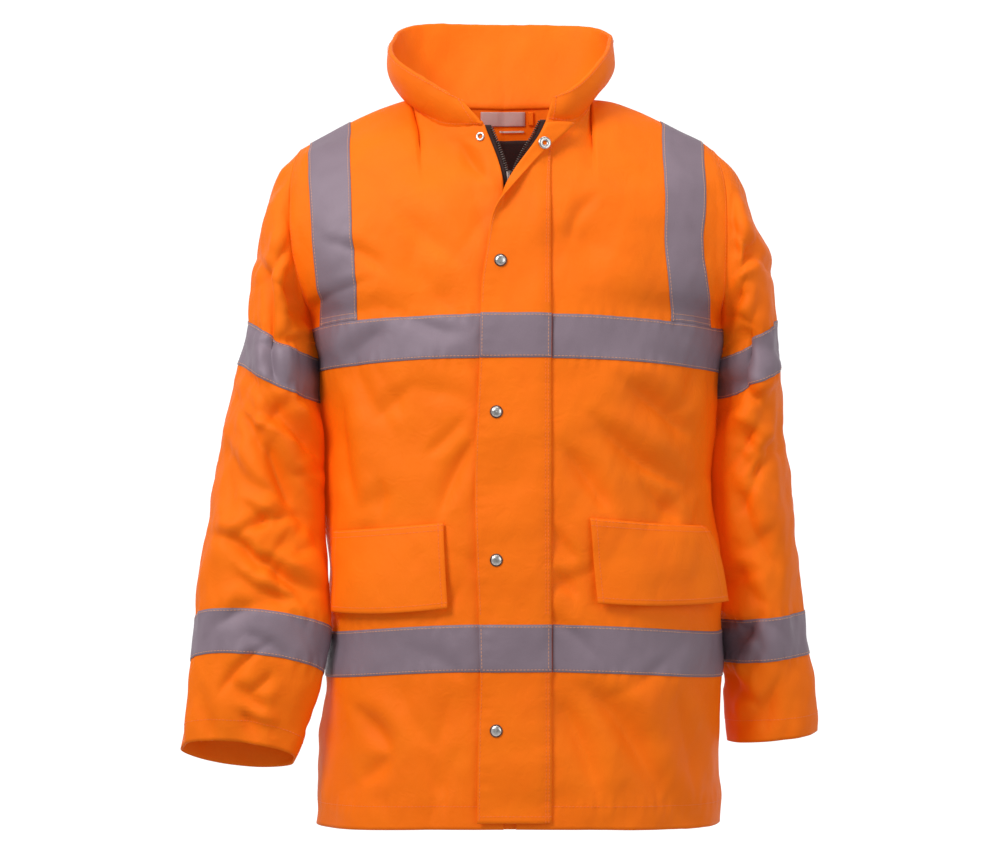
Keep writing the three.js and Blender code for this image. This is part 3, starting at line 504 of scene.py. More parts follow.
def crease_height(points: np.ndarray, creases: Table) -> np.ndarray:
    """Adds up soft creases on the view from the front, each drawn a little deeper than its table says.

    Each one follows a bent path, is deepest along its middle and fades to a point at both ends.
    One side of a trough rises beside it, as pushed cloth does.

    Args:
        points: Places of shape (count, 3), in millimetres.
        creases: The creases' table.

    Returns:
        The height at each place, below zero in a trough.
    """
    total = np.zeros(len(points))
    flat = points[:, [0, 2]]
    for x0, z0, x1, z1, x2, z2, height, width, lean in creases.rows:
        corners = np.array([[x0, z0], [x1, z1], [x2, z2]], float)
        share = np.linspace(0, 1, 13)[:, None]
        middle = 2 * corners[1] - (corners[0] + corners[2]) / 2
        path = corners[0] * (1 - share) ** 2 + middle * 2 * share * (1 - share) + corners[2] * share ** 2
        low, high = path.min(0) - 3 * width, path.max(0) + 3 * width
        near = np.nonzero(np.all((flat > low) & (flat < high), axis=1))[0]
        if not len(near):
            continue
        best = np.full(len(near), 1e9)
        away = np.zeros(len(near))
        at = np.zeros(len(near))
        for i in range(len(path) - 1):
            step = path[i + 1] - path[i]
            length = np.linalg.norm(step)
            offset = flat[near] - path[i]
            t = np.clip(offset @ step / length ** 2, 0, 1)
            gap = offset - t[:, None] * step
            distance = np.linalg.norm(gap, axis=1)
            side = np.sign(step[0] * gap[:, 1] - step[1] * gap[:, 0])
            nearer = distance < best
            best = np.where(nearer, distance, best)
            away = np.where(nearer, side * distance, away)
            at = np.where(nearer, (i + t) / (len(path) - 1), at)
        taper = np.clip(np.sin(math.pi * np.clip(at, 0.02, 0.98)), 0, 1) ** 0.7
        reach = width * (0.45 + 0.55 * taper)
        trough = np.exp(-(np.abs(away / (0.55 * reach)) ** 1.6))
        beside = np.exp(-(((away - 1.15 * reach) / (0.75 * reach)) ** 2))
        total[near] += CREASE_DEPTH * height * taper * (trough - lean * 0.7 * beside)
    return total


def ripple(points: np.ndarray, seed: int, length: float, height: float, waves: int = 7) -> np.ndarray:
    """Makes a gentle unevenness from waves that run in several directions.

    Args:
        points: Places of shape (count, 3), in millimetres.
        seed: Fixes the waves.
        length: The usual distance from wave to wave.
        height: The usual height.
        waves: How many waves are added up.

    Returns:
        The height at each place.
    """
    draw = np.random.default_rng(seed)
    total = np.zeros(len(points))
    for _ in range(waves):
        way = unit(draw.normal(size=3) * (1, 1, 0.55))
        phase = draw.uniform(0, 2 * math.pi)
        pace = 2 * math.pi / (length * draw.uniform(0.7, 1.5))
        bend = 0.9 * np.sin(points @ unit(draw.normal(size=3)) * pace * 0.45 + phase)
        total += np.sin(points @ way * pace + phase + bend)
    return total * height / math.sqrt(waves)


def unevenness(points: np.ndarray) -> np.ndarray:
    """Returns the body's own unevenness, which what lies on it follows too."""
    return ripple(points, 3, 150, 2.3) + ripple(points, 5, 58, 1.0) + ripple(points, 7, 26, 0.28)


def scattered(
    seed: int, count: int, box: Sequence[float], length: float, height: float, width: float,
) -> Table:
    """Draws many small creases over a part of the view from the front.

    Args:
        seed: Fixes the draw.
        count: How many creases.
        box: The left, right, bottom and top of the part.
        length: The usual length.
        height: The usual height, below zero for troughs.
        width: The usual width.

    Returns:
        The creases' table.
    """
    draw = np.random.default_rng(seed)
    rows = []
    for _ in range(count):
        x, z = draw.uniform(box[0], box[1]), draw.uniform(box[2], box[3])
        angle = draw.choice([-1, 1]) * draw.uniform(0.25, 1.2)
        half = length * draw.uniform(0.5, 1.3) / 2
        way = np.array([math.cos(angle), math.sin(angle)]) * half
        sag = draw.uniform(-0.3, 0.3) * np.array([-way[1], way[0]])
        size = height * draw.uniform(0.4, 1.4)
        rows.append((x - way[0], z - way[1], x + sag[0], z + sag[1], x + way[0], z + way[1],
                     size, width * draw.uniform(0.7, 1.4), draw.uniform(0.1, 0.8)))
    return Table(CREASE_WORDS, tuple(rows))


def pucker(distance: np.ndarray, run: np.ndarray, height: float, length: float, fade: float) -> np.ndarray:
    """Makes the small uneven waves that sewing draws along a seam.

    Args:
        distance: The distance from the seam.
        run: The way along the seam.
        height: The waves' height at the seam.
        length: The distance from wave to wave.
        fade: How far from the seam they have gone.

    Returns:
        The height at each place.
    """
    uneven = 1 + 0.5 * np.sin(run * 2 * math.pi / (5.3 * length) + 1.3)
    wave = np.sin(run * 2 * math.pi / length + 1.7 * np.sin(run / (2.6 * length)))
    return height * uneven * wave * np.exp(-((distance / fade) ** 2))


def ways_out(points: np.ndarray, ring: bool) -> np.ndarray:
    """Adds up the ways out of the small faces round each place of a grid.

    Args:
        points: Places of shape (rows, columns, 3).
        ring: Whether the last column meets the first.

    Returns:
        A way for each place, not yet of length one.
    """
    wide = np.concatenate([points, points[:, :1]], axis=1) if ring else points
    out = np.cross(wide[1:, :-1] - wide[:-1, 1:], wide[1:, 1:] - wide[:-1, :-1])
    total = np.zeros_like(wide)
    for row in (0, 1):
        for column in (0, 1):
            rows = slice(row, row + out.shape[0])
            total[rows, column:column + out.shape[1]] += out
    if ring:
        total[:, 0] += total[:, -1]
        total = total[:, :-1]
    return total


@dataclass
class Grid:
    """Rows of places on one piece with the ways out of it, in millimetres."""

    points: np.ndarray
    normals: np.ndarray
    ring: bool = False

    @classmethod
    def of(cls, points: np.ndarray, inside: Optional[Sequence[float]] = None, ring: bool = False) -> "Grid":
        """Makes a grid and finds its ways out.

        Args:
            points: Places of shape (rows, columns, 3).
            inside: Any point on the inner side, where the order of the places doesn't tell it.
            ring: Whether the last column meets the first.

        Returns:
            The grid.
        """
        normals = unit(ways_out(points, ring))
        if inside is not None:
            row, column = points.shape[0] // 2, points.shape[1] // 2
            if np.dot(np.asarray(inside) - points[row, column], normals[row, column]) > 0:
                normals = -normals
        return cls(points, normals, ring)

    def part(self, rows: slice, columns: slice) -> "Grid":
        """Returns part of the grid, which is open all round."""
        return Grid(self.points[rows, columns], self.normals[rows, columns])

    def closed(self) -> np.ndarray:
        """Returns the places, with a ring's first column again at its end."""
        return np.concatenate([self.points, self.points[:, :1]], axis=1) if self.ring else self.points

    def lengths(self) -> tuple[np.ndarray, np.ndarray]:
        """Measures along the rows and the columns.

        Returns:
            The usual place of each column and each row, from 0, in millimetres.
        """
        wide = self.closed()
        across = np.linalg.norm(np.diff(wide, axis=1), axis=2).mean(0)
        up = np.linalg.norm(np.diff(wide, axis=0), axis=2).mean(1)
        return np.concatenate([[0], np.cumsum(across)]), np.concatenate([[0], np.cumsum(up)])

    def area(self) -> float:
        """Measures the surface.

        Returns:
            The area in square millimetres.
        """
        wide = self.closed()
        cross = np.cross(wide[1:, 1:] - wide[:-1, :-1], wide[1:, :-1] - wide[:-1, 1:])
        return float(np.linalg.norm(cross, axis=2).sum() / 2)


@dataclass
class Solid:
    """The corners, faces and flat places of a closed mesh."""

    corners: np.ndarray
    faces: np.ndarray
    flat: Optional[np.ndarray] = None


def border(rows: int, columns: int, ring: bool) -> list[np.ndarray]:
    """Lists the places round a grid's open edges, in the order of its faces.

    Args:
        rows: How many rows.
        columns: How many columns.
        ring: Whether the last column meets the first.

    Returns:
        One closed loop of place numbers for each edge.
    """
    first = np.arange(columns)
    last = (rows - 1) * columns + first
    if ring:
        return [first, last[::-1]]
    right = np.arange(1, rows - 1) * columns + columns - 1
    left = np.arange(1, rows - 1) * columns
    return [np.concatenate([first, right, last[::-1], left[::-1]])]


def wall(
    grid: Grid,
    inside: float,
    outside: float,
    trim: float = SEAM_GAP,
    swell: Optional[np.ndarray] = None,
) -> Solid:
    """Makes a closed wall over a grid, with rounded edges.

    Args:
        grid: The places that the wall follows.
        inside: The inner face's height over the grid.
        outside: The outer face's height over the grid.
        trim: How far both faces stop short of the edge.
        swell: Extra height of the outer face and depth of the inner one at each place.

    Returns:
        The wall.
    """
    rows, columns = grid.points.shape[:2]
    points = grid.points.copy()

    def draw_in(edge: tuple, beside: tuple) -> None:
        """Moves one edge's places towards those beside them."""
        points[edge] += unit(grid.points[beside] - grid.points[edge]) * trim

    everything = slice(None)
    draw_in((0, everything), (1, everything))
    draw_in((-1, everything), (-2, everything))
    if not grid.ring:
        draw_in((everything, 0), (everything, 1))
        draw_in((everything, -1), (everything, -2))
    more = np.zeros((rows, columns)) if swell is None else swell
    outer = points + grid.normals * (outside + more)[..., None]
    inner = points + grid.normals * (inside - more)[..., None]
    middle = grid.points + grid.normals * ((inside + outside) / 2)
    count = rows * columns
    loops = border(rows, columns, grid.ring)
    rims = [middle.reshape(-1, 3)[loop] for loop in loops]
    corners = np.concatenate([outer.reshape(-1, 3), inner.reshape(-1, 3), *rims])

    row, column = np.meshgrid(np.arange(rows - 1), np.arange(columns - (not grid.ring)), indexing="ij")
    row, column = row.ravel(), column.ravel()
    onward = (column + 1) % columns
    here, beside = row * columns + column, row * columns + onward
    quads = np.stack([here, beside, beside + columns, here + columns], axis=1)
    across, up = (length * MM for length in grid.lengths())
    places = [(column, row), (column + 1, row), (column + 1, row + 1), (column, row + 1)]
    flat = np.stack([np.stack([across[c], up[r]], axis=1) for c, r in places], axis=1)
    faces, flats = [quads, quads[:, ::-1] + count], [flat, flat[:, ::-1]]
    start = 2 * count
    for loop in loops:
        n = len(loop)
        rim = start + np.arange(n)
        after, rim_after = np.roll(loop, -1), np.roll(rim, -1)
        faces.append(np.stack([after, loop, rim, rim_after], axis=1))
        faces.append(np.stack([rim_after, rim, loop + count, after + count], axis=1))
        spot = np.stack([across[loop % columns], up[loop // columns]], axis=1)
        spots = np.stack([np.roll(spot, -1, axis=0), spot, spot, np.roll(spot, -1, axis=0)], axis=1)
        flats += [spots, spots]
        start += n
    faces, flats = np.concatenate(faces), np.concatenate(flats)
    middle_row, middle_column = rows // 2, columns // 2
    sample = grid.points[middle_row - 1:middle_row + 1, middle_column - 1:middle_column + 1]
    way = np.cross(sample[0, 1] - sample[0, 0], sample[1, 0] - sample[0, 0])
    if np.dot(way, grid.normals[middle_row, middle_column]) < 0:
        faces, flats = faces[:, ::-1], flats[:, ::-1]
    return Solid(corners, faces, flats)


def joined(solids: Sequence[Solid]) -> Solid:
    """Puts several meshes with faces of one kind into one.

    Args:
        solids: The meshes.

    Returns:
        The mesh of them all.
    """
    starts = np.cumsum([0, *(len(solid.corners) for solid in solids[:-1])])
    faces = np.concatenate([solid.faces + start for solid, start in zip(solids, starts)])
    corners = np.concatenate([solid.corners for solid in solids])
    flats = [solid.flat for solid in solids]
    flat = None if any(part is None for part in flats) else np.concatenate(flats)
    return Solid(corners, faces, flat)


def turned(
    profile: Sequence[tuple[float, float]], centre: np.ndarray, way: np.ndarray, sides: int = 32,
) -> Solid:
    """Turns a closed profile round an axis.

    Args:
        profile: Radius and height of each point; the last joins the first.
        centre: The foot of the axis.
        way: The axis's direction.
        sides: How many steps round.

    Returns:
        The turned mesh.
    """
    way = unit(np.asarray(way, float))
    first = unit(np.cross(way, (0.3, 0.1, 1.0)))
    second = np.cross(way, first)
    angle = np.linspace(0, 2 * math.pi, sides, endpoint=False)
    round_it = np.cos(angle)[:, None] * first + np.sin(angle)[:, None] * second
    outline = np.array(profile, float)
    corners = centre + round_it[:, None] * outline[None, :, :1] + way * outline[None, :, 1:]
    count = len(outline)
    side, step = np.meshgrid(np.arange(sides), np.arange(count), indexing="ij")
    side, step = side.ravel(), step.ravel()
    other, onward = (side + 1) % sides, (step + 1) % count
    faces = np.stack(
        [side * count + step, other * count + step, other * count + onward, side * count + onward], axis=1
    )
    return Solid(corners.reshape(-1, 3), faces)


def run_of(path: np.ndarray) -> np.ndarray:
    """Returns the way along a path at each of its points."""
    return np.concatenate([[0], np.cumsum(np.linalg.norm(np.diff(path, axis=0), axis=1))])


def read(run: np.ndarray, values: np.ndarray, place: np.ndarray) -> np.ndarray:
    """Returns a path's values at places along it."""
    return np.stack([np.interp(place, run, values[:, axis]) for axis in range(3)], axis=-1)


# The faces of a four-sided tube through four rings, closed at both ends
SQUARE_TUBE = [
    (4 * ring + step, 4 * ring + (step + 1) % 4, 4 * ring + 4 + (step + 1) % 4, 4 * ring + 4 + step)
    for ring in range(3) for step in range(4)
] + [(3, 2, 1, 0), (12, 13, 14, 15)]


def stitches(
    path: np.ndarray, normals: np.ndarray, lift: float = THREAD_LIFT, pitch: float = STITCH_PITCH,
) -> Optional[Solid]:
    """Lays a row of stitches along a path.

    Args:
        path: Points along the seam.
        normals: The ways out at those points.
        lift: The height of the thread's middle over the path.
        pitch: The distance from stitch to stitch.

    Returns:
        The stitches as one mesh, or nothing where the path is too short for one.
    """
    run = run_of(path)
    count = int(run[-1] / pitch)
    if count < 1:
        return None
    start = (np.arange(count) + 0.5) * pitch - STITCH / 2
    out = unit(read(run, normals, start + STITCH / 2))
    ends = [read(run, path, start), read(run, path, start + STITCH)]
    along_way = unit(ends[1] - ends[0])
    side = np.cross(along_way, out)
    rings = []
    for share, wide in ((0.0, 0.25), (0.25, 1.0), (0.75, 1.0), (1.0, 0.25)):
        sink = -0.25 * THREAD if wide < 1 else 0.0
        centre = ends[0] * (1 - share) + ends[1] * share + out * (lift + sink)
        for angle in (0, 0.5, 1, 1.5):
            turn = angle * math.pi
            rings.append(centre + (side * math.cos(turn) + out * math.sin(turn)) * THREAD * wide)
    corners = np.stack(rings, axis=1).reshape(-1, 3)
    faces = np.array(SQUARE_TUBE)[None] + (np.arange(count) * 16)[:, None, None]
    return Solid(corners, faces.reshape(-1, 4))


def subdivided(values: Sequence[float], step: float, counts: Optional[Sequence[int]] = None) -> np.ndarray:
    """Divides the spans between values evenly.

    Args:
        values: The values that are kept.
        step: About how far apart the new values are.
        counts: How many parts each span gets, where that is fixed.

    Returns:
        All the values, in order.
    """
    out = [values[0]]
    for i, (low, high) in enumerate(zip(values, values[1:])):
        count = counts[i] if counts is not None else max(1, round(abs(high - low) / step))
        out += [mix(low, high, part / count) for part in range(1, count + 1)]
    return np.array(out, float)


def groove(distance: np.ndarray, depth: float, width: float) -> np.ndarray:
    """Returns the height of a soft groove along a seam, below zero."""
    return -depth * np.exp(-((distance / width) ** 2))


class JacketForm:
    """The jacket's outer faces with their folds: fronts, back and sleeves on fine grids."""

    def __init__(self) -> None:
        """Works out the grids, moves them by the folds, and finds their ways out."""
        self.body = BodyForm()
        self.parts = COLUMN_PARTS
        self.side = COLUMNS * self.parts
        coarse: list[float] = []
        for row, above in zip(BODY_ROWS.rows, [*BODY_ROWS.rows[1:], (TOP_LEVEL,)]):
            coarse += [mix(row[0], above[0], step / row[-1]) for step in range(int(row[-1]))]
        coarse.append(TOP_LEVEL)
        armpit = coarse.index(level_of("armpit"))
        counts = [
            max(1, round((high - low) / ROW_STEP)) if i < armpit else self.parts
            for i, (low, high) in enumerate(zip(coarse, coarse[1:]))
        ]
        self.levels = subdivided(coarse, ROW_STEP, counts)
        self.top = len(self.levels) - 1
        self.armpit = self.row_at("armpit")
        self.grids = self.body_grids()
        self.sleeve_rows: dict[Hand, list[int]] = {}
        self.fold_body()
        for hand in Hand:
            self.grids[f"{hand.value}_sleeve"] = self.sleeve(hand)
        self.settle()

    def row_at(self, name: str) -> int:
        """Returns the place of a named body row among the fine rows."""
        return nearest(self.levels, level_of(name))

    def body_grids(self) -> dict[str, Grid]:
        """Builds the fronts and the back before any fold.

        Returns:
            A grid for each, by its name.
        """
        fine = np.arange(self.side + 1) / self.parts

        def face_grid(face: Face, hand: Hand, column: np.ndarray) -> np.ndarray:
            """Finds one stretch of places for all the levels.

            Args:
                face: The face.
                hand: The side.
                column: The stretch's columns.

            Returns:
                The places of shape (levels, columns, 3).
            """
            level = np.repeat(self.levels, len(column))
            points = self.body.points(face, hand, np.tile(column, len(self.levels)), level)
            return points.reshape(len(self.levels), len(column), 3)

        back = [
            face_grid(Face.BACK, Hand.RIGHT, fine[::-1]),
            face_grid(Face.BACK, Hand.LEFT, fine[1:]),
        ]
        return {
            "right_front": Grid.of(face_grid(Face.FRONT, Hand.RIGHT, fine)),
            "back": Grid.of(np.concatenate(back, axis=1)),
            "left_front": Grid.of(face_grid(Face.FRONT, Hand.LEFT, fine[::-1])),
        }

    def settle(self) -> None:
        """Gives places that pieces share one way out, so that seams close."""
        grids = list(self.grids.values())
        signs = [-1.0 if name == "left_sleeve" else 1.0 for name in self.grids]
        raw = [ways_out(grid.points, grid.ring).reshape(-1, 3) * sign for grid, sign in zip(grids, signs)]
        places = np.concatenate([np.round(grid.points.reshape(-1, 3), 2) for grid in grids])
        _, where = np.unique(places, axis=0, return_inverse=True)
        where = where.ravel()
        total = np.zeros((where.max() + 1, 3))
        np.add.at(total, where, np.concatenate(raw))
        settled = unit(total)[where]
        start = 0
        for grid in grids:
            count = grid.points.shape[0] * grid.points.shape[1]
            grid.normals = settled[start:start + count].reshape(grid.points.shape)
            start += count

    def fold_body(self) -> None:
        """Moves the body's places by the creases, the unevenness and the seams."""
        self.settle()
        level = self.levels[:, None]
        lines = [level_of(f"{place}_tape_{end}") for place in ("chest", "waist") for end in ("low", "top")]
        for name, grid in self.grids.items():
            points = grid.points.reshape(-1, 3)
            shape = grid.points.shape[:2]
            height = np.zeros(len(points))
            for face, sign in ((Face.FRONT, -1.0), (Face.BACK, 1.0)):
                facing = ease(sign * points[:, 1], -10, 30)
                height += facing * crease_height(points, BODY_CREASES[face])
                seed, count, *sizes = BODY_STREWN
                small = scattered(seed + int(sign), count, BODY_BOX, *sizes)
                height += facing * crease_height(points, small)
            height = (height + unevenness(points)).reshape(shape)
            to_side = self.from_side(name)
            run = grid.lengths()[0][:shape[1]][None]
            inner = ease(to_side, 0, 14)
            rise, length, fade = BODY_TAPE_PUCKER
            for i, line in enumerate(lines):
                height += inner * pucker(level - line, run + 31 * i, rise, length + i, fade)
            height += inner * pucker(level - self.levels[0] - HEM_PUCKER_UP, run, *HEM_PUCKER)
            above = ease(np.arange(shape[0], dtype=float) - self.armpit, -10, 3)[:, None]
            beside = ease(-level, *ARM_PRESS_TOP) * (1 - ease(-level, *ARM_PRESS_LOW))
            height += BODY_PRESS * beside * np.exp(-((to_side / 34) ** 2))
            closing = ease(self.top - np.arange(shape[0], dtype=float), 0, 9)[:, None]
            height = height * (0.25 + 0.75 * closing) * mix(1.0, ease(to_side, 1, 15), above)
            height += (1 - above) * groove(to_side, 0.7, 3.5)
            move = (grid.normals.reshape(-1, 3) * height.reshape(-1, 1)).reshape(grid.points.shape)
            grid.points = grid.points + move
        self.match_borders()

    def from_side(self, name: str) -> np.ndarray:
        """Measures along the rows from the nearer side seam or armhole.

        Args:
            name: The panel's name.

        Returns:
            The distance at each place, in millimetres.
        """
        steps = np.linalg.norm(np.diff(self.grids[name].points, axis=1), axis=2)
        zero = np.zeros((len(steps), 1))
        left = np.concatenate([zero, np.cumsum(steps, axis=1)], axis=1)
        right = left[:, -1:] - left
        if name == "back":
            return np.minimum(left, right)
        return right if name == "right_front" else left

    def match_borders(self) -> None:
        """Brings the panels' shared edges exactly together after the folds."""
        right, back, left = (self.grids[name] for name in ("right_front", "back", "left_front"))
        low, side = slice(0, self.armpit + 1), self.side
        back.points[low, 0] = right.points[low, -1]
        back.points[low, -1] = left.points[low, 0]
        first = NECK_COLUMN * self.parts
        front_right, front_left = right.points[-1, first:], left.points[-1, :side - first + 1]
        back.points[-1, :side - first + 1] = front_right[::-1]
        back.points[-1, side + first:] = front_left[::-1]

    def armhole(self, hand: Hand) -> np.ndarray:
        """Follows an armhole from the shoulder down the front and up the back.

        Args:
            hand: The side.

        Returns:
            Its places.
        """
        front = self.grids[f"{hand.value}_front"].points[:, -1 if hand is Hand.RIGHT else 0]
        back = self.grids["back"].points[:, 0 if hand is Hand.RIGHT else -1]
        down = front[self.armpit:][::-1]
        return np.concatenate([down, back[self.armpit + 1:self.top]])

    def sleeve(self, hand: Hand) -> Grid:
        """Works out one sleeve with its creases.

        Args:
            hand: The wearer's right or left.

        Returns:
            The sleeve's grid, a ring all the way down.
        """
        hole = self.armhole(hand)
        table = SLEEVES[hand]
        sides = np.arange(len(hole)) * RING_SIDES / len(hole)
        angle = 2 * math.pi * sides / RING_SIDES
        across = (1 + np.cos(angle)) / 2
        rings = [hole]
        for out_x, out_z, in_x, in_z, mid_y, half_y, lift in table.rows:
            x = mix(in_x, out_x, across)
            y = mid_y - half_y * np.sin(angle)
            z = mix(in_z, out_z, across) + lift * np.sin(angle)
            rings.append(np.stack([x, y, z], axis=1))
        outer = table.rows
        steps = [abs(outer[0][1] - hole[0][2])]
        steps += [math.hypot(b[0] - a[0], b[1] - a[1]) for a, b in zip(outer, outer[1:])]
        at = np.concatenate([[0], np.cumsum(steps)])
        stops = subdivided(at, ROW_STEP)
        self.sleeve_rows[hand] = [nearest(stops, place) for place in at[1:]]
        level = np.repeat(stops, len(hole))
        values = np.tile(np.stack(rings), (1, len(stops), 1))
        points = curve(at, values, level)
        shape = (len(stops), len(hole))
        grid = Grid.of(points.reshape(*shape, 3), ring=True)
        if hand is Hand.LEFT:
            grid.normals = -grid.normals
        middle = grid.points[..., 1].mean(1, keepdims=True)
        steps = np.linalg.norm(np.diff(grid.points, axis=0), axis=2)
        down = np.concatenate([np.zeros((1, shape[1])), np.cumsum(steps, axis=0)])
        fade = ease(down / (26 + 34 * (1 - across[None]) ** 2), 0, 1)
        height = np.zeros(shape)
        for face, sign in ((Face.FRONT, -1.0), (Face.BACK, 1.0)):
            facing = ease(sign * (grid.points[..., 1] - middle), -10, 25)
            height += facing * crease_height(points, SLEEVE_CREASES[hand][face]).reshape(shape)
            ends = (table.column("outX")[0], table.column("inX")[-1])
            sides = (min(ends) - SLEEVE_BOX_MARGIN, max(ends) + SLEEVE_BOX_MARGIN)
            seed, count, *sizes = SLEEVE_STREWN
            seed += int(sign) + (10 if hand is Hand.LEFT else 0)
            small = scattered(seed, count, (*sides, *SLEEVE_BOX_HEIGHT), *sizes)
            height += facing * crease_height(points, small).reshape(shape)
        seed = 11 if hand is Hand.RIGHT else 17
        uneven = ripple(points, seed, 95, 2.4) + ripple(points, seed + 1, 44, 1.4)
        height += (uneven + ripple(points, seed + 2, 24, 0.45)).reshape(shape)
        run = grid.lengths()[0][:shape[1]][None]
        rise, length, reach = SLEEVE_TAPE_PUCKER
        for i, row in enumerate(self.tape_rows(hand)):
            wave = pucker(stops[:, None] - stops[row], run, rise, length + i, reach)
            height += wave * np.sin(np.pi * np.arange(shape[1]) / shape[1])[None] ** 0.3
        level = grid.points[..., 2]
        beside = ease(-level, *ARM_PRESS_TOP) * (1 - ease(-level, *ARM_PRESS_LOW))
        height = height * fade * (1 - 0.5 * beside * (1 - across[None]) ** 4)
        place, spread = ARMPIT_PRESS_AT
        armpit = np.exp(-(((-level - place) / spread) ** 2))
        height += (SLEEVE_PRESS + ARMPIT_PRESS * armpit) * beside * (1 - across[None]) ** 4
        grid.points = grid.points + grid.normals * height[..., None]
        return grid

    def tape_rows(self, hand: Hand) -> list[int]:
        """Returns the fine rows where the sleeve's two tapes start and end."""
        names = ("upper_tape_top", "upper_tape_low", "lower_tape_top", "lower_tape_low")
        return [self.sleeve_rows[hand][SLEEVE_RING_NAMES.index(name)] for name in names]


class Slot(Enum):
    """Names of material slots."""

    ORANGE = "orange_cloth"
    TAPE = "reflective_tape"
    DARK = "dark_cloth"
    METAL = "stud_metal"
    LABEL = "label_cloth"


Colour = tuple[float, float, float]


class Nodes:
    """Adds and links shader nodes in one tree."""

    def __init__(self, tree: bpy.types.NodeTree) -> None:
        """Keeps the tree."""
        self.tree = tree

    def add(self, kind: str, links: Optional[dict] = None, **settings: object) -> bpy.types.Node:
        """Adds a node.

        Args:
            kind: The node's type.
            links: Values or other nodes' outputs for its inputs, by name or number.
            settings: The node's own settings.

        Returns:
            The node.
        """
        node = self.tree.nodes.new(kind)
        for name, value in settings.items():
            setattr(node, name, value)
        for name, value in (links or {}).items():
            if isinstance(value, bpy.types.NodeSocket):
                self.tree.links.new(value, node.inputs[name])
            else:
                node.inputs[name].default_value = value
        return node

    def link(self, source: bpy.types.NodeSocket, target: bpy.types.NodeSocket) -> None:
        """Links an output to an input."""
        self.tree.links.new(source, target)

    def sum(self, first: object, second: object, operation: str = "ADD") -> bpy.types.NodeSocket:
        """Returns the result of a Math node."""
        links = {0: first, 1: second, 2: 0.0}
        return self.add("ShaderNodeMath", links, operation=operation).outputs[0]

    def blend(self, share: bpy.types.NodeSocket, low: Colour, high: Colour) -> bpy.types.NodeSocket:
        """Returns a colour between two by a mask."""
        links = {0: share, 6: (*low, 1.0), 7: (*high, 1.0)}
        return self.add("ShaderNodeMix", links, data_type="RGBA").outputs[2]

    def spread(self, value: bpy.types.NodeSocket, low: float, high: float) -> bpy.types.NodeSocket:
        """Returns a mask from 0 to 1 spread between two values."""
        return self.add("ShaderNodeMapRange", {"Value": value, "To Min": low, "To Max": high}).outputs[0]


def started(name: str) -> tuple[bpy.types.Material, Nodes, bpy.types.Node]:
    """Starts a material.

    Args:
        name: The material's name.

    Returns:
        The material, its nodes and its shader.
    """
    made = bpy.data.materials.new(name)
    made.use_nodes = True
    return made, Nodes(made.node_tree), made.node_tree.nodes["Principled BSDF"]


def node_group(
    name: str, inputs: dict[str, float], outputs: Sequence[str], make: Callable,
) -> bpy.types.NodeTree:
    """Builds a shader node group once.

    Args:
        name: The group's name.
        inputs: Its number inputs with their usual values; a Vector input is always added first.
        outputs: Its outputs, all numbers.
        make: Called with the nodes and the group's inputs; it returns a socket for each output.

    Returns:
        The group.
    """
    if name in bpy.data.node_groups:
        return bpy.data.node_groups[name]
    group = bpy.data.node_groups.new(name, "ShaderNodeTree")
    group.interface.new_socket("Vector", in_out="INPUT", socket_type="NodeSocketVector")
    for label, value in inputs.items():
        socket = group.interface.new_socket(label, in_out="INPUT", socket_type="NodeSocketFloat")
        socket.default_value = value
    for label in outputs:
        group.interface.new_socket(label, in_out="OUTPUT", socket_type="NodeSocketFloat")
    nodes = Nodes(group)
    entry = nodes.add("NodeGroupInput")
    leave = nodes.add("NodeGroupOutput")
    for label, socket in zip(outputs, make(nodes, entry.outputs)):
        group.links.new(socket, leave.inputs[label])
    return group


def weave_group() -> bpy.types.NodeTree:
    """Builds the group for crossing threads.

    Returns:
        The group, with the threads' height and a tone that varies from thread to thread.
    """

    def make(nodes: Nodes, inputs: bpy.types.NodeOutputs) -> tuple:
        """Adds the group's nodes.

        Args:
            nodes: The group's nodes.
            inputs: The group's inputs.

        Returns:
            A socket for each output.
        """
        bands = [
            nodes.add(
                "ShaderNodeTexWave",
                {"Vector": inputs["Vector"], "Scale": inputs["Threads"], "Distortion": 0.6, "Detail": 1.0},
                bands_direction=way,
            ).outputs["Fac"]
            for way in ("X", "Y")
        ]
        high = nodes.sum(bands[0], bands[1], "MAXIMUM")
        slub = nodes.add("ShaderNodeTexNoise", {"Vector": inputs["Vector"], "Scale": 900.0, "Detail": 2.0})
        return high, slub.outputs["Fac"]

    return node_group("crossing_threads", {"Threads": 520.0}, ("Height", "Tone"), make)


def crumple_group() -> bpy.types.NodeTree:
    """Builds the group for small soft crumples.

    Returns:
        The group, with the crumples' height and a mask that paints shade into their hollows and light onto
        their tops.
    """

    def make(nodes: Nodes, inputs: bpy.types.NodeOutputs) -> tuple:
        """Adds the group's nodes.

        Args:
            nodes: The group's nodes.
            inputs: The group's inputs.

        Returns:
            A socket for each output.
        """
        links = {"Vector": inputs["Vector"], "Scale": inputs["Scale"], "Detail": 3.0, "Distortion": 0.5}
        soft = nodes.add("ShaderNodeTexNoise", links).outputs["Fac"]
        finer = nodes.sum(inputs["Scale"], 2.7, "MULTIPLY")
        links = {"Vector": inputs["Vector"], "Scale": finer, "Detail": 2.0, "Distortion": 0.9}
        small = nodes.add("ShaderNodeTexNoise", links).outputs["Fac"]
        fold = nodes.sum(nodes.sum(small, 0.5, "SUBTRACT"), 0.0, "ABSOLUTE")
        height = nodes.sum(soft, nodes.sum(fold, 0.8, "MULTIPLY"), "SUBTRACT")
        # soft also serves as painted shade: low in the crumples' hollows, high on their tops
        return height, soft

    return node_group("soft_crumples", {"Scale": 22.0}, ("Height", "Painted Shade"), make)


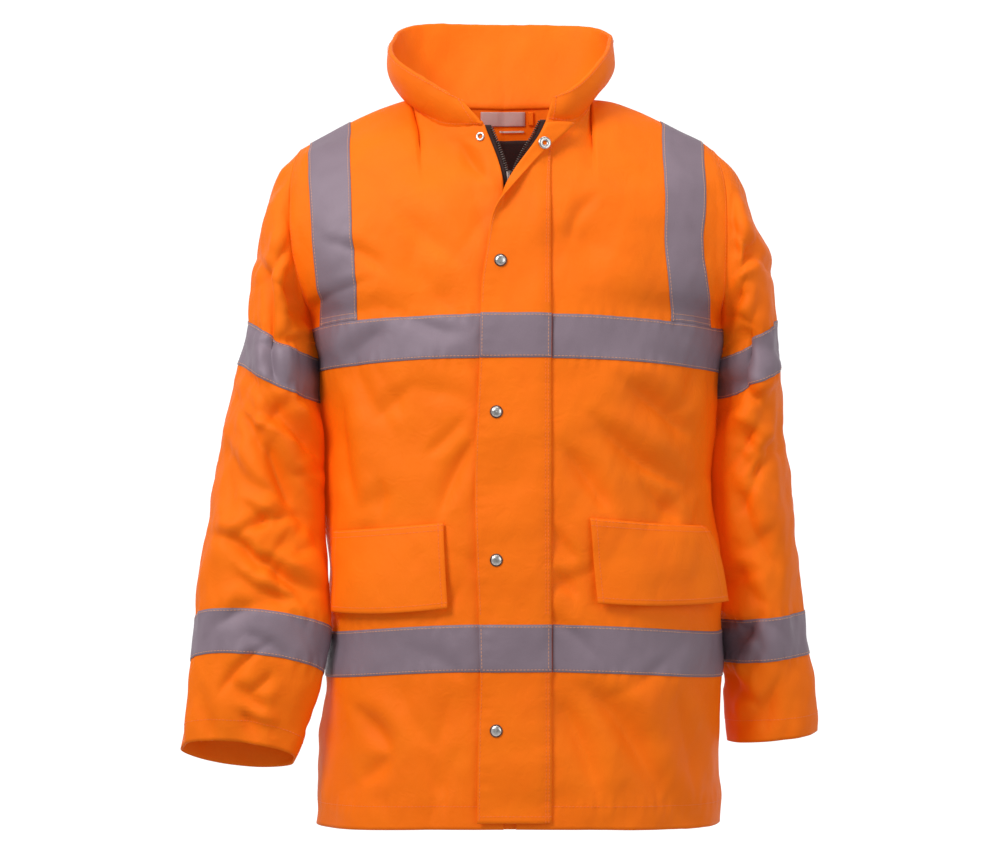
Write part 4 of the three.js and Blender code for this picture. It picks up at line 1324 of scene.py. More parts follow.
def wear_group() -> bpy.types.NodeTree:
    """Builds the group for wide uneven patches of tone, as handled cloth and metal have.

    Returns:
        The group, with a mask of the patches.
    """

    def make(nodes: Nodes, inputs: bpy.types.NodeOutputs) -> tuple:
        """Adds the group's nodes.

        Args:
            nodes: The group's nodes.
            inputs: The group's inputs.

        Returns:
            A socket for each output.
        """
        links = {"Vector": inputs["Vector"], "Scale": inputs["Scale"], "Detail": 4.0, "Roughness": 0.55}
        patches = nodes.add("ShaderNodeTexNoise", links).outputs["Fac"]
        links = {"Value": patches, "From Min": 0.3, "From Max": 0.7}
        return (nodes.add("ShaderNodeMapRange", links).outputs[0],)

    return node_group("uneven_tone", {"Scale": 6.0}, ("Mask",), make)


@dataclass(frozen=True)
class Finish:
    """What every finish has: a name and the two colours that its tone varies between."""

    name: str
    low: Colour
    high: Colour

    def material(self) -> bpy.types.Material:
        """Builds the material, once.

        Returns:
            The material, ready for a piece.
        """
        made = bpy.data.materials.get(self.name)
        if made is None:
            made, nodes, shader = started(self.name)
            self.dress(nodes, shader)
        return made


@dataclass(frozen=True)
class ClothFinish(Finish):
    """A woven finish: its colours, threads, crumples and sheen, with painted shade in the crumples' hollows
    and, where set, a painted glow.
    """

    threads: float = 520.0
    thread_depth: float = 0.00012
    crumple: float = 22.0
    crumple_depth: float = 0.0016
    rough_low: float = 0.5
    rough_high: float = 0.66
    sheen: float = 0.03
    # strength of a painted glow in the lighter colour, which lifts the shaded parts
    glow: float = 0.0
    metallic: float = 0.0
    specular: float = 0.28

    def dress(self, nodes: Nodes, shader: bpy.types.Node) -> None:
        """Adds the material's nodes.

        Args:
            nodes: The material's nodes.
            shader: Its shader.
        """
        place = nodes.add("ShaderNodeTexCoord")
        group = "ShaderNodeGroup"
        weave = nodes.add(group, node_tree=weave_group())
        crumple = nodes.add(group, node_tree=crumple_group())
        wear = nodes.add(group, node_tree=wear_group())
        for node, output in ((weave, "UV"), (crumple, "Object"), (wear, "Object")):
            nodes.link(place.outputs[output], node.inputs["Vector"])
        weave.inputs["Threads"].default_value = self.threads
        crumple.inputs["Scale"].default_value = self.crumple
        link = nodes.link
        worn = nodes.sum(wear.outputs["Mask"], 0.6, "MULTIPLY")
        tone = nodes.sum(worn, weave.outputs["Tone"], "MULTIPLY")
        # Painted shade: the colour darkens in the crumples' hollows and lightens on their tops, on top of
        # the threads' and patches' own tone
        tone = nodes.sum(tone, nodes.sum(crumple.outputs["Painted Shade"], 0.5, "MULTIPLY"), "ADD")
        link(nodes.blend(tone, self.low, self.high), shader.inputs["Base Color"])
        link(nodes.spread(wear.outputs["Mask"], self.rough_low, self.rough_high), shader.inputs["Roughness"])
        links = {"Height": crumple.outputs["Height"], "Distance": self.crumple_depth, "Strength": 0.6}
        soft = nodes.add("ShaderNodeBump", links)
        links = {"Height": weave.outputs["Height"], "Distance": self.thread_depth, "Strength": 0.5}
        fine = nodes.add("ShaderNodeBump", {**links, "Normal": soft.outputs[0]})
        link(fine.outputs[0], shader.inputs["Normal"])
        shader.inputs["Sheen Weight"].default_value = self.sheen
        shader.inputs["Sheen Roughness"].default_value = 0.5
        shader.inputs["Metallic"].default_value = self.metallic
        shader.inputs["Specular IOR Level"].default_value = self.specular
        # Painted glow: the cloth emits its lighter colour, standing in for fluorescence and brightening the
        # shade
        if self.glow:
            shader.inputs["Emission Color"].default_value = (*self.high, 1.0)
            shader.inputs["Emission Strength"].default_value = self.glow


@dataclass(frozen=True)
class MetalFinish(Finish):
    """A brushed plated metal: its colours and how rough it is."""

    rough_low: float = 0.2
    rough_high: float = 0.38

    def dress(self, nodes: Nodes, shader: bpy.types.Node) -> None:
        """Adds the material's nodes.

        Args:
            nodes: The material's nodes.
            shader: Its shader.
        """
        place = nodes.add("ShaderNodeTexCoord").outputs["Object"]
        wear = nodes.add("ShaderNodeGroup", node_tree=wear_group())
        nodes.link(place, wear.inputs["Vector"])
        wear.inputs["Scale"].default_value = 420.0
        scratch = nodes.add("ShaderNodeTexNoise", {"Vector": place, "Scale": 1800.0, "Detail": 2.0})
        mask = wear.outputs["Mask"]
        link = nodes.link
        link(nodes.blend(mask, self.low, self.high), shader.inputs["Base Color"])
        link(nodes.spread(mask, self.rough_low, self.rough_high), shader.inputs["Roughness"])
        links = {"Height": scratch.outputs["Fac"], "Distance": 0.00005, "Strength": 0.3}
        link(nodes.add("ShaderNodeBump", links).outputs[0], shader.inputs["Normal"])
        shader.inputs["Metallic"].default_value = 1.0


# The orange cloth has a painted glow that stands in for its fluorescence and lifts its shade
ORANGE = ClothFinish(
    "orange_coated_weave", (0.9, 0.142, 0.002), (1.0, 0.21, 0.004), sheen=0.0, glow=0.05, specular=0.14,
)
TAPE_FINISH = ClothFinish(
    "reflective_tape_beads", (0.20, 0.148, 0.182), (0.31, 0.235, 0.285), threads=900.0,
    thread_depth=0.00006, crumple=16.0, crumple_depth=0.001, rough_low=0.5, rough_high=0.62, sheen=0.0,
    metallic=0.15, specular=0.4,
)
DARK_CLOTH = ClothFinish(
    "dark_brown_lining", (0.012, 0.002, 0.001), (0.035, 0.006, 0.004), rough_low=0.6, rough_high=0.8,
    sheen=0.3,
)
LABEL_CLOTH = ClothFinish(
    "pale_label_satin", (0.5, 0.33, 0.31), (0.68, 0.5, 0.47), threads=1100.0, crumple_depth=0.0006,
    rough_low=0.4, rough_high=0.55,
)
WHITE_CLOTH = ClothFinish("white_tape_edge", (0.6, 0.5, 0.45), (0.85, 0.78, 0.74), threads=1000.0)
# The orange thread has a painted glow as well
ORANGE_THREAD = ClothFinish(
    "orange_thread", (0.82, 0.12, 0.006), (1.0, 0.24, 0.02), threads=2400.0, crumple=300.0,
    crumple_depth=0.0001, sheen=0.3, glow=0.06,
)
TAPE_THREAD = ClothFinish(
    "pale_orange_thread", (0.72, 0.3, 0.15), (0.95, 0.46, 0.26), threads=2400.0, crumple=300.0,
    crumple_depth=0.0001, sheen=0.3,
)
SILVER = MetalFinish("plated_silver", (0.5, 0.49, 0.47), (0.78, 0.77, 0.75))
DARK_METAL = MetalFinish("darkened_plating", (0.06, 0.045, 0.04), (0.16, 0.13, 0.12), 0.3, 0.5)


def piece(
    name: str,
    solid: Solid,
    finish: Finish,
    nodes: Sequence[str] = (),
) -> bpy.types.Object:
    """Turns a mesh into a finished piece on the jacket.

    Args:
        name: The piece's name.
        solid: Its mesh, in millimetres.
        finish: Its finish.
        nodes: The CAD nodes that it stands for.

    Returns:
        The Blender object.
    """
    mesh = bpy.data.meshes.new(name)
    mesh.from_pydata((solid.corners * MM).tolist(), [], solid.faces.tolist())
    if solid.flat is not None:
        layer = mesh.uv_layers.new(name="flat_cloth")
        layer.data.foreach_set("uv", solid.flat.reshape(-1).astype(np.float32))
    mesh.polygons.foreach_set("use_smooth", np.ones(len(mesh.polygons), bool))
    mesh.materials.append(finish.material())
    mesh.update()
    made = bpy.data.objects.new(name, mesh)
    bpy.context.scene.collection.objects.link(made)
    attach(made, BODY)
    if nodes:
        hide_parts(*nodes)
    LOG.info("%s: %d faces", name, len(mesh.polygons))
    return made


def declare_sheet(made: bpy.types.Object, grid: Grid) -> None:
    """Logs the flat size and area of a cloth piece.

    Args:
        made: The piece.
        grid: The grid that its wall follows.
    """
    wide = grid.closed()
    width = float(np.linalg.norm(np.diff(wide, axis=1), axis=2).sum(1).max()) * MM
    length = float(np.linalg.norm(np.diff(wide, axis=0), axis=2).sum(0).max()) * MM
    area = grid.area() * MM * MM
    LOG.info("%s: flat %.3f by %.3f m, %.4f m2", made.name, width, length, area)


@dataclass
class Sewing:
    """Rows of stitches that are joined into one piece."""

    name: str
    finish: ClothFinish
    runs: list[Solid] = field(default_factory=list)

    def row(self, path: np.ndarray, normals: np.ndarray, lift: float = THREAD_LIFT) -> None:
        """Adds a row of stitches along a path.

        Args:
            path: Points along the seam.
            normals: The ways out there.
            lift: The thread's height over the path.
        """
        run = stitches(path, normals, lift)
        if run is not None:
            self.runs.append(run)

    def across(self, grid: Grid, row: float, out: float, columns: slice = slice(None)) -> None:
        """Adds a row of stitches along a grid's row.

        Args:
            grid: The grid.
            row: The row, which may lie between two rows.
            out: The way out from the grid.
            columns: The columns that the stitches take.
        """
        low = int(math.floor(row)) % len(grid.points) if row < 0 else int(row)
        share = row - math.floor(row)
        high = min(low + 1, len(grid.points) - 1)
        points = mix(grid.points[low], grid.points[high], share)[columns]
        normals = unit(mix(grid.normals[low], grid.normals[high], share))[columns]
        self.row(points + normals * out, normals)

    def down(self, grid: Grid, column: float, out: float, rows: slice = slice(None)) -> None:
        """Adds a row of stitches along a grid's column, which may lie between two columns."""
        turned_grid = Grid(grid.points.transpose(1, 0, 2), grid.normals.transpose(1, 0, 2))
        self.across(turned_grid, column, out, rows)

    def build(self, slot: Slot) -> bpy.types.Object:
        """Returns the stitches as one piece."""
        return piece(self.name, joined(self.runs), self.finish)


@dataclass
class Shells:
    """The fronts, the back and the two sleeves."""

    form: JacketForm
    cloth: float = CLOTH
    made: dict[str, bpy.types.Object] = field(default_factory=dict)

    def build(self) -> None:
        """Builds the five shells and keeps them by name."""
        nodes = {
            "right_front": ("front_right",),
            "left_front": ("front_left",),
            "back": ("back",),
            "right_sleeve": ("sleeve_right_under", "sleeve_right_top"),
            "left_sleeve": ("sleeve_left_under", "sleeve_left_top"),
        }
        for name, grid in self.form.grids.items():
            solid = wall(grid, -self.cloth, 0.0)
            self.made[name] = piece(f"{name}_panel", solid, ORANGE, nodes[name])

    def sew(self, orange: Sewing) -> None:
        """Adds the hem's, the armholes' and the cuffs' rows of stitches.

        Args:
            orange: Collects the stitches in orange thread.
        """
        form = self.form
        hem = nearest(form.levels, form.levels[0] + HEM_STITCHES)
        for name in ("right_front", "back", "left_front"):
            orange.across(form.grids[name], hem, 0)
        above = slice(form.armpit + 2, form.top)
        orange.down(form.grids["right_front"], form.side - 2.5, 0, above)
        orange.down(form.grids["left_front"], 2.5, 0, above)
        orange.down(form.grids["back"], 2.5, 0, above)
        orange.down(form.grids["back"], 2 * form.side - 2.5, 0, above)
        for hand in Hand:
            grid = form.grids[f"{hand.value}_sleeve"]
            orange.across(grid, len(grid.points) - 6.5, 0)


@dataclass
class Tapes:
    """The reflective tapes round the body, over the shoulders and round the sleeves."""

    form: JacketForm
    lift: float = TAPE_LIFT
    thick: float = TAPE
    made: dict[str, list[bpy.types.Object]] = field(default_factory=dict)

    def tape(self, name: str, grid: Grid, panel: str, sewing: Sewing) -> None:
        """Builds one tape and sews its long edges.

        Args:
            name: The tape's CAD node.
            grid: The places that it lies on.
            panel: The panel that carries it.
            sewing: Collects the stitches.
        """
        solid = wall(grid, self.lift, self.lift + self.thick, 0.3)
        made = piece(f"{name}_strip", solid, TAPE_FINISH, (name,))
        self.made.setdefault(panel, []).append(made)
        out = self.lift + self.thick
        if grid.points.shape[0] < grid.points.shape[1] or grid.ring:
            sewing.across(grid, 0.6, out)
            sewing.across(grid, -1.6, out)
        else:
            sewing.down(grid, 0.9, out)
            sewing.down(grid, -1.9, out)

    def build(self, sewing: Sewing) -> None:
        """Builds all the tapes but those on the storm flap.

        Args:
            sewing: Collects the stitches.
        """
        form, parts, side = self.form, self.form.parts, self.form.side
        everything = slice(None)
        for place in ("chest", "waist"):
            rows = slice(form.row_at(f"{place}_tape_low"), form.row_at(f"{place}_tape_top") + 1)
            columns = {"right_front": everything, "back": everything,
                       "left_front": slice(0, side - SEAM_COLUMN * parts + 1)}
            nodes = {"right_front": "front_right", "back": "back", "left_front": "front_left"}
            for panel, node in nodes.items():
                grid = form.grids[panel].part(rows, columns[panel])
                self.tape(f"{place}_tape_{node}", grid, panel, sewing)
        low = form.row_at("chest_tape_top")
        inner, outer = BRACE_IN * parts, BRACE_OUT * parts
        for hand in Hand:
            right = hand is Hand.RIGHT
            front = form.grids[f"{hand.value}_front"]
            columns = slice(inner, outer + 1) if right else slice(side - outer, side - inner + 1)
            first = front.part(slice(low, None), columns)
            start, stop = (side - outer, side - inner) if right else (side + inner, side + outer)
            behind = slice(start, stop + 1)
            last = form.grids["back"].part(slice(low, form.top), behind)
            points = np.concatenate([first.points, last.points[::-1, ::-1]])
            normals = np.concatenate([first.normals, last.normals[::-1, ::-1]])
            grid = Grid(points, normals)
            self.tape(f"brace_{hand.value}", grid, f"{hand.value}_front", sewing)
            out = self.lift + self.thick
            for row in (0.7, 2.2, -1.7):
                sewing.across(grid, row, out)
            sleeve = form.grids[f"{hand.value}_sleeve"]
            rows = form.tape_rows(hand)
            for place, (start, stop) in zip(("upper", "lower"), (rows[:2], rows[2:])):
                whole = Grid(sleeve.points[start:stop + 1], sleeve.normals[start:stop + 1], True)
                self.tape(f"sleeve_tape_{place}_{hand.value}", whole, f"{hand.value}_sleeve", sewing)


@dataclass
class Collar:
    """The tall soft standing collar."""

    form: JacketForm
    steps: int = 30
    thick: float = COLLAR_WALL
    puff: float = 1.3
    tucked: tuple[float, float] = (1.2, 4.0)

    def grid(self) -> Grid:
        """Works out the collar's outer face.

        Returns:
            The grid, from the neckline up to the top edge.
        """
        form, parts, side = self.form, self.form.parts, self.form.side
        grids = form.grids
        neck = NECK_COLUMN * parts
        foot = np.concatenate([
            grids["right_front"].points[-1, :neck],
            grids["back"].points[-1, side - neck:side + neck + 1],
            grids["left_front"].points[-1, side - neck + 1:],
        ])
        station = np.arange(len(foot)) / parts
        edge = along(COLLAR, station)
        bulge = curve(COLLAR.column("at"), COLLAR.column("bulge")[:, None], station)
        centre = grids["back"].points[-1, side] * (1, 0, 1)
        out = unit((foot - centre) * (1, 1, 0))
        share = np.linspace(0, 1, self.steps + 1)[:, None, None]
        points = mix(foot[None], edge[None], share) + out * bulge * np.sin(math.pi * share)
        points[0] = points[0] - out * self.tucked[0] - np.array([0, 0, self.tucked[1]])
        grid = Grid.of(points, (0, 0, 40))
        flat = grid.points.reshape(-1, 3)
        height = (ripple(flat, 31, 90, 1.5) + ripple(flat, 32, 34, 0.6)).reshape(points.shape[:2])
        up = np.linspace(0, 1, self.steps + 1)[:, None]
        height += 1.6 * np.sin(math.pi * up)
        run = grid.lengths()[0][None]
        rise = up * 95
        height += pucker(rise, run, 0.8, 13, 12) + pucker(95 - rise, run + 40, 0.5, 15, 10)
        height = height * ease(up, 0, 0.08)
        return Grid.of(grid.points + grid.normals * height[..., None], (0, 0, 40))

    def build(self, sewing: Sewing) -> None:
        """Builds the collar.

        Args:
            sewing: Collects the stitches.
        """
        grid = self.grid()
        rows, columns = grid.points.shape[:2]
        up = np.linspace(0, 1, rows)[:, None]
        along_it = np.linspace(0, 1, columns)[None]
        ends = ease(np.minimum(along_it, 1 - along_it), 0, 0.05)
        swell = self.puff * ends * np.sin(math.pi * np.clip(up * 0.97 + 0.03, 0, 1)) ** 0.5
        solid = wall(grid, -self.thick, 0.0, 1.2, swell)
        made = piece("standing_collar", solid, ORANGE, ("collar",))
        sewing.across(grid, rows - 3.2, 1.2)
        sewing.across(grid, 1.6, 0.6)
        sewing.down(grid, 2.4, 0.6)
        sewing.down(grid, -3.4, 0.6)
        declare_sheet(made, grid)


@dataclass
class StormFlap:
    """The flap that covers the zip, with its top corner turned back, and its tapes."""

    form: JacketForm
    main_steps: int = 16
    turn_steps: int = 9
    beyond_steps: int = 6
    thick: float = FLAP_CLOTH
    tapes: list[bpy.types.Object] = field(default_factory=list)
    levels: np.ndarray = field(default_factory=lambda: subdivided(STORM_FLAP.column("z"), 4.0))

    def on_front(self, x: np.ndarray, z: np.ndarray) -> tuple[np.ndarray, np.ndarray]:
        """Finds places on the left front, carried on flat beyond its front edge.

        Args:
            x: Across, in millimetres.
            z: Up, in millimetres.

        Returns:
            The points and the ways out.
        """
        points, normals = self.form.body.seen(Face.FRONT, Hand.LEFT, np.maximum(x, ZIP_EDGE_LEFT), z)
        points[:, 0] = x
        return points, normals

    def path(self, edge: float, beyond: float, turned_share: float) -> tuple[np.ndarray, np.ndarray]:
        """Works out one row of the flap from its seam to its free edge.

        Args:
            edge: Where the flap ends, or folds.
            beyond: The length beyond the fold.
            turned_share: How far that length is turned over.

        Returns:
            The x of each place and its height over the front.
        """
        fold = edge + beyond * (1 - turned_share)
        share = np.linspace(0, 1, self.main_steps + 1)
        x = mix(FLAP_SEAM_X, min(fold, FLAP_SEAM_X - 2), share)
        out = mix(FLAP_SEAM_LIFT, FLAP_LIFT, ease(FLAP_SEAM_X - x, 0, FLAP_RISE))
        turn = math.pi * turned_share
        rest = max(beyond - FLAP_TURN / 3, 1) - 2 * FLAP_TURN / 3
        lengths = [FLAP_TURN / self.turn_steps] * self.turn_steps
        lengths += [max(rest, 1) / self.beyond_steps] * self.beyond_steps
        angle = np.array([turn * min((i + 0.5) / self.turn_steps, 1) for i in range(len(lengths))])
        x = np.concatenate([x, x[-1] - np.cumsum(lengths * np.cos(angle))])
        out = np.concatenate([out, out[-1] + np.cumsum(lengths * np.sin(angle))])
        return x, out

    def grid(self) -> Grid:
        """Builds the flap's inner face.

        Returns:
            Its grid.
        """
        places = STORM_FLAP.column("z")[::-1]
        values = np.stack([STORM_FLAP.column(name) for name in ("edgeX", "beyond", "turned")], axis=1)[::-1]
        rows = curve(places, values, self.levels)
        paths = [self.path(edge, beyond, min(max(share, 0.0), 1.0)) for edge, beyond, share in rows]
        x = np.stack([path[0] for path in paths])
        out = np.stack([path[1] for path in paths])
        z = np.repeat(self.levels, x.shape[1])
        points, normals = self.on_front(x.ravel(), z)
        height = unevenness(points) + ripple(points, 41, 70, 0.5)
        low = self.levels[:, None]
        waves = pucker(x - FLAP_STITCH_X, low, *FLAP_SEAM_PUCKER)
        waves = waves + pucker(x - x[:, -1:] - FLAP_EDGE_IN, low, *FLAP_EDGE_PUCKER)
        height = out.ravel() + height + waves.ravel() + 0.6
        return Grid.of((points + normals * height[:, None]).reshape(*x.shape, 3), (10, 0, -400))

    def build(self, orange: Sewing, pale: Sewing) -> Grid:
        """Builds the flap and its two tapes.

        Args:
            orange: Collects the stitches in orange thread.
            pale: Collects the stitches on the tapes.

        Returns:
            The flap's grid, for what is fixed to it.
        """
        grid = self.grid()
        solid = wall(grid, 0.0, self.thick, 0.5)
        made = piece("storm_flap_panel", solid, ORANGE, ("storm_flap",))
        for place in ("chest", "waist"):
            ends = [level_of(f"{place}_tape_{end}") for end in ("top", "low")]
            first, last = (self.row_near(end) for end in ends)
            strip = grid.part(slice(first, last + 1), slice(None))
            low = self.thick + TAPE_LIFT
            name = f"{place}_tape_storm_flap"
            solid = wall(strip, low, low + TAPE, 0.2)
            self.tapes.append(piece(f"{name}_strip", solid, TAPE_FINISH, (name,)))
            pale.across(strip, 0.6, low + TAPE)
            pale.across(strip, -1.6, low + TAPE)
            pale.down(strip, 0.9, low + TAPE)
            pale.down(strip, -4.2, low + TAPE)
        beside = [(0, self.row_near(-243)), (self.row_near(-294), self.row_near(-572)),
                  (self.row_near(-626), len(grid.points))]
        for start, stop in beside:
            for column in (0.8, 1.6, -4.2):
                orange.down(grid, column, self.thick, slice(start, stop))
        orange.across(grid, -2.8, self.thick)
        declare_sheet(made, grid)
        return grid

    def row_near(self, level: float) -> int:
        """Returns the flap's row nearest to a level."""
        return nearest(self.levels, level)


@dataclass
class PocketFlaps:
    """The two pocket flaps, sewn on along the top."""

    form: JacketForm
    columns: int = 40
    rows: int = 28
    thick: float = FLAP_CLOTH
    top_lift: float = 0.9

    def build(self, sewing: Sewing) -> None:
        """Builds both flaps.

        Args:
            sewing: Collects the stitches.
        """
        for hand, corners in POCKET_FLAPS.items():
            inner_x, outer_x, inner_top, outer_top, inner_low, outer_low = corners[:6]
            low_inner_x, low_outer_x, inner_off, outer_off = corners[6:]
            down, across = np.meshgrid(
                np.linspace(0, 1, self.rows + 1), np.linspace(0, 1, self.columns + 1), indexing="ij"
            )
            down, across = down.ravel(), across.ravel()
            x = mix(mix(inner_x, low_inner_x, down), mix(outer_x, low_outer_x, down), across)
            z = mix(mix(inner_top, inner_low, down), mix(outer_top, outer_low, down), across)
            z = z - 2.0 * np.sin(math.pi * across) * down
            points, normals = self.form.body.seen(Face.FRONT, hand, x, z)
            off = mix(inner_off, outer_off, across ** 3)
            under = unevenness(points)
            own = ripple(points, 51, 80, 0.9) * down
            height = self.top_lift + 1.0 + off * np.sqrt(down) + under + own
            height += 2.2 * np.sin(math.pi * across) * np.sin(math.pi * down * 0.8)
            height += pucker(down * 90, across * 125, 0.4, 11, 7)
            shape = (self.rows + 1, self.columns + 1, 3)
            grid = Grid.of((points + normals * height[:, None]).reshape(shape), (10, 0, -400))
            name = f"pocket_flap_{hand.value}"
            made = piece(f"{name}_cloth", wall(grid, 0.0, self.thick, 0.7), ORANGE, (name,))
            for row in (0.8, 2.4, -2.9):
                sewing.across(grid, row, self.thick)
            for column in (1.9, -2.9):
                sewing.down(grid, column, self.thick)
            declare_sheet(made, grid)


@dataclass
class Zip:
    """The open top of the zip: its tapes behind the fronts, its teeth and the slider."""

    form: JacketForm
    tape_in: float = 7.0
    tape_out: float = 5.9
    thick: float = 1.0
    lift: float = 0.9
    above_hem: float = 24.0
    teeth_below: float = -104.0
    pitch: float = 2.6
    teeth_out: float = 0.4
    tooth: tuple[float, float, float] = (4.4, 0.95, 1.15)
    guard_top: float = -125.0
    guard_gap: float = 0.4
    guard_thick: float = 1.6
    slider_at: tuple[float, float] = (2.5, -97.0)

    def build(self) -> None:
        """Builds the tapes, the teeth and the slider."""
        teeth: list[Solid] = []
        for hand in Hand:
            inwards = -1.0 if hand is Hand.RIGHT else 1.0
            grid = self.form.grids[f"{hand.value}_front"]
            order = slice(None) if hand is Hand.RIGHT else slice(None, None, -1)
            edge, beside = (grid.points[:, order][:, i] for i in (0, 4))
            normal = grid.normals[:, order][:, 0]
            inner = edge + unit(beside - edge) * self.tape_in
            free = edge - np.array([inwards * self.tape_out, 0, 0])
            strip = np.stack([free, mix(free, edge, 0.5), edge, mix(edge, inner, 0.5), inner], axis=1)
            normals = np.repeat(normal[:, None], strip.shape[1], axis=1)
            low = nearest(self.form.levels, self.form.levels[0] + self.above_hem)
            tape = Grid(strip[low:], normals[low:])
            behind = -CLOTH - self.lift
            name = f"zip_tape_{hand.value}"
            solid = wall(tape, behind - self.thick, behind, 0.1)
            piece(f"{name}_cloth", solid, DARK_CLOTH, (name,))
            rows = np.nonzero(self.form.levels > self.teeth_below)[0]
            teeth.append(self.teeth(free[rows] + normal[rows] * (behind + self.teeth_out), normal[rows]))
        piece("zip_teeth", joined(teeth), DARK_METAL)
        self.slider()
        self.guard()

    def guard(self) -> None:
        """Builds the strip of cloth behind the zip, which shows at the hem."""
        right, left = (self.form.grids[f"{hand.value}_front"] for hand in (Hand.RIGHT, Hand.LEFT))
        rows = slice(0, nearest(self.form.levels, self.guard_top))
        start, stop = right.points[rows, 6], left.points[rows, -3]
        share = np.linspace(0, 1, 13)[None, :, None]
        points = mix(start[:, None], stop[:, None], share)
        normals = unit(mix(right.normals[rows, 6][:, None], left.normals[rows, -3][:, None], share))
        strip = Grid(points, normals)
        behind = -CLOTH - self.lift - self.thick - self.guard_gap
        solid = wall(strip, behind - self.guard_thick, behind, 0.6)
        made = piece("zip_guard_cloth", solid, ORANGE)
        declare_sheet(made, strip)

    def teeth(self, path: np.ndarray, normals: np.ndarray) -> Solid:
        """Builds one side's teeth.

        Args:
            path: The tape's free edge.
            normals: The ways out there.

        Returns:
            The teeth.
        """
        run = run_of(path)
        found: list[Solid] = []
        for place in np.arange(self.pitch, run[-1] - self.pitch, self.pitch):
            centre = read(run, path, place)
            out = unit(read(run, normals, place))
            way = unit(centre - read(run, path, place - 1))
            across = unit(np.cross(way, out))
            rings = []
            for share, wide in ((-0.5, 0.6), (-0.3, 1.0), (0.25, 1.0), (0.5, 0.7)):
                middle = centre + across * share * self.tooth[0]
                for turn in (0.25, 0.75, 1.25, 1.75):
                    angle = turn * math.pi
                    offset = way * math.cos(angle) * self.tooth[1] + out * math.sin(angle) * self.tooth[2]
                    rings.append(middle + offset * wide)
            found.append(Solid(np.array(rings), np.array(SQUARE_TUBE)))
        return joined(found)

    def slider(self) -> None:
        """Builds the slider: a waisted body with a bridge."""
        x, z = self.slider_at
        edge = (np.array([ZIP_EDGE_LEFT]), np.array([z]))
        place, normal = self.form.body.seen(Face.FRONT, Hand.LEFT, *edge)
        out = normal[0]
        centre = np.array([x, place[0, 1] + CLOTH - 0.9, z])
        up = unit(np.array([0, 0, 1.0]) - out * out[2])
        side = np.cross(up, out)

        def slab(outline: Sequence[tuple[float, float]], low: float, high: float) -> Solid:
            """Builds a bevelled plate.

            Args:
                outline: The plate's outline, sideways and up.
                low: The way out to its inner face.
                high: The way out to its outer face.

            Returns:
                The plate.
            """
            shape = np.array(outline, float)
            middle = shape.mean(0)
            inner = middle + (shape - middle) * 0.82
            levels = [low, mix(low, high, 0.25), mix(low, high, 0.75), high]
            rings = [
                centre + side * ring[:, :1] + up * ring[:, 1:] + out * level
                for ring, level in zip((inner, shape, shape, inner), levels)
            ]
            count = len(shape)
            middle_at = centre + side * middle[0] + up * middle[1]
            caps = [middle_at + out * level for level in (low, high)]
            corners = np.concatenate([*rings, caps])
            faces = []
            for layer in range(3):
                for i in range(count):
                    j = (i + 1) % count
                    base = layer * count
                    faces.append((base + i, base + j, base + count + j, base + count + i))
            for i in range(0, count, 2):
                j, k = (i + 1) % count, (i + 2) % count
                faces.append((4 * count, k, j, i))
                faces.append((4 * count + 1, 3 * count + i, 3 * count + j, 3 * count + k))
            return Solid(corners, np.array(faces))

        waisted = [(-4, 7), (0, 7.4), (4, 7), (3.4, 2), (3, -6), (0, -6.6), (-3, -6), (-3.4, 2)]
        narrow = [(-1, 5), (0, 5.4), (1, 5), (1.1, 0), (1, -4), (0, -4.4), (-1, -4), (-1.1, 0)]
        body, bridge = slab(waisted, -1.5, 1.2), slab(narrow, 0.9, 2.2)
        piece("zip_slider_body", joined([body, bridge]), DARK_METAL, ("zip_slider",))


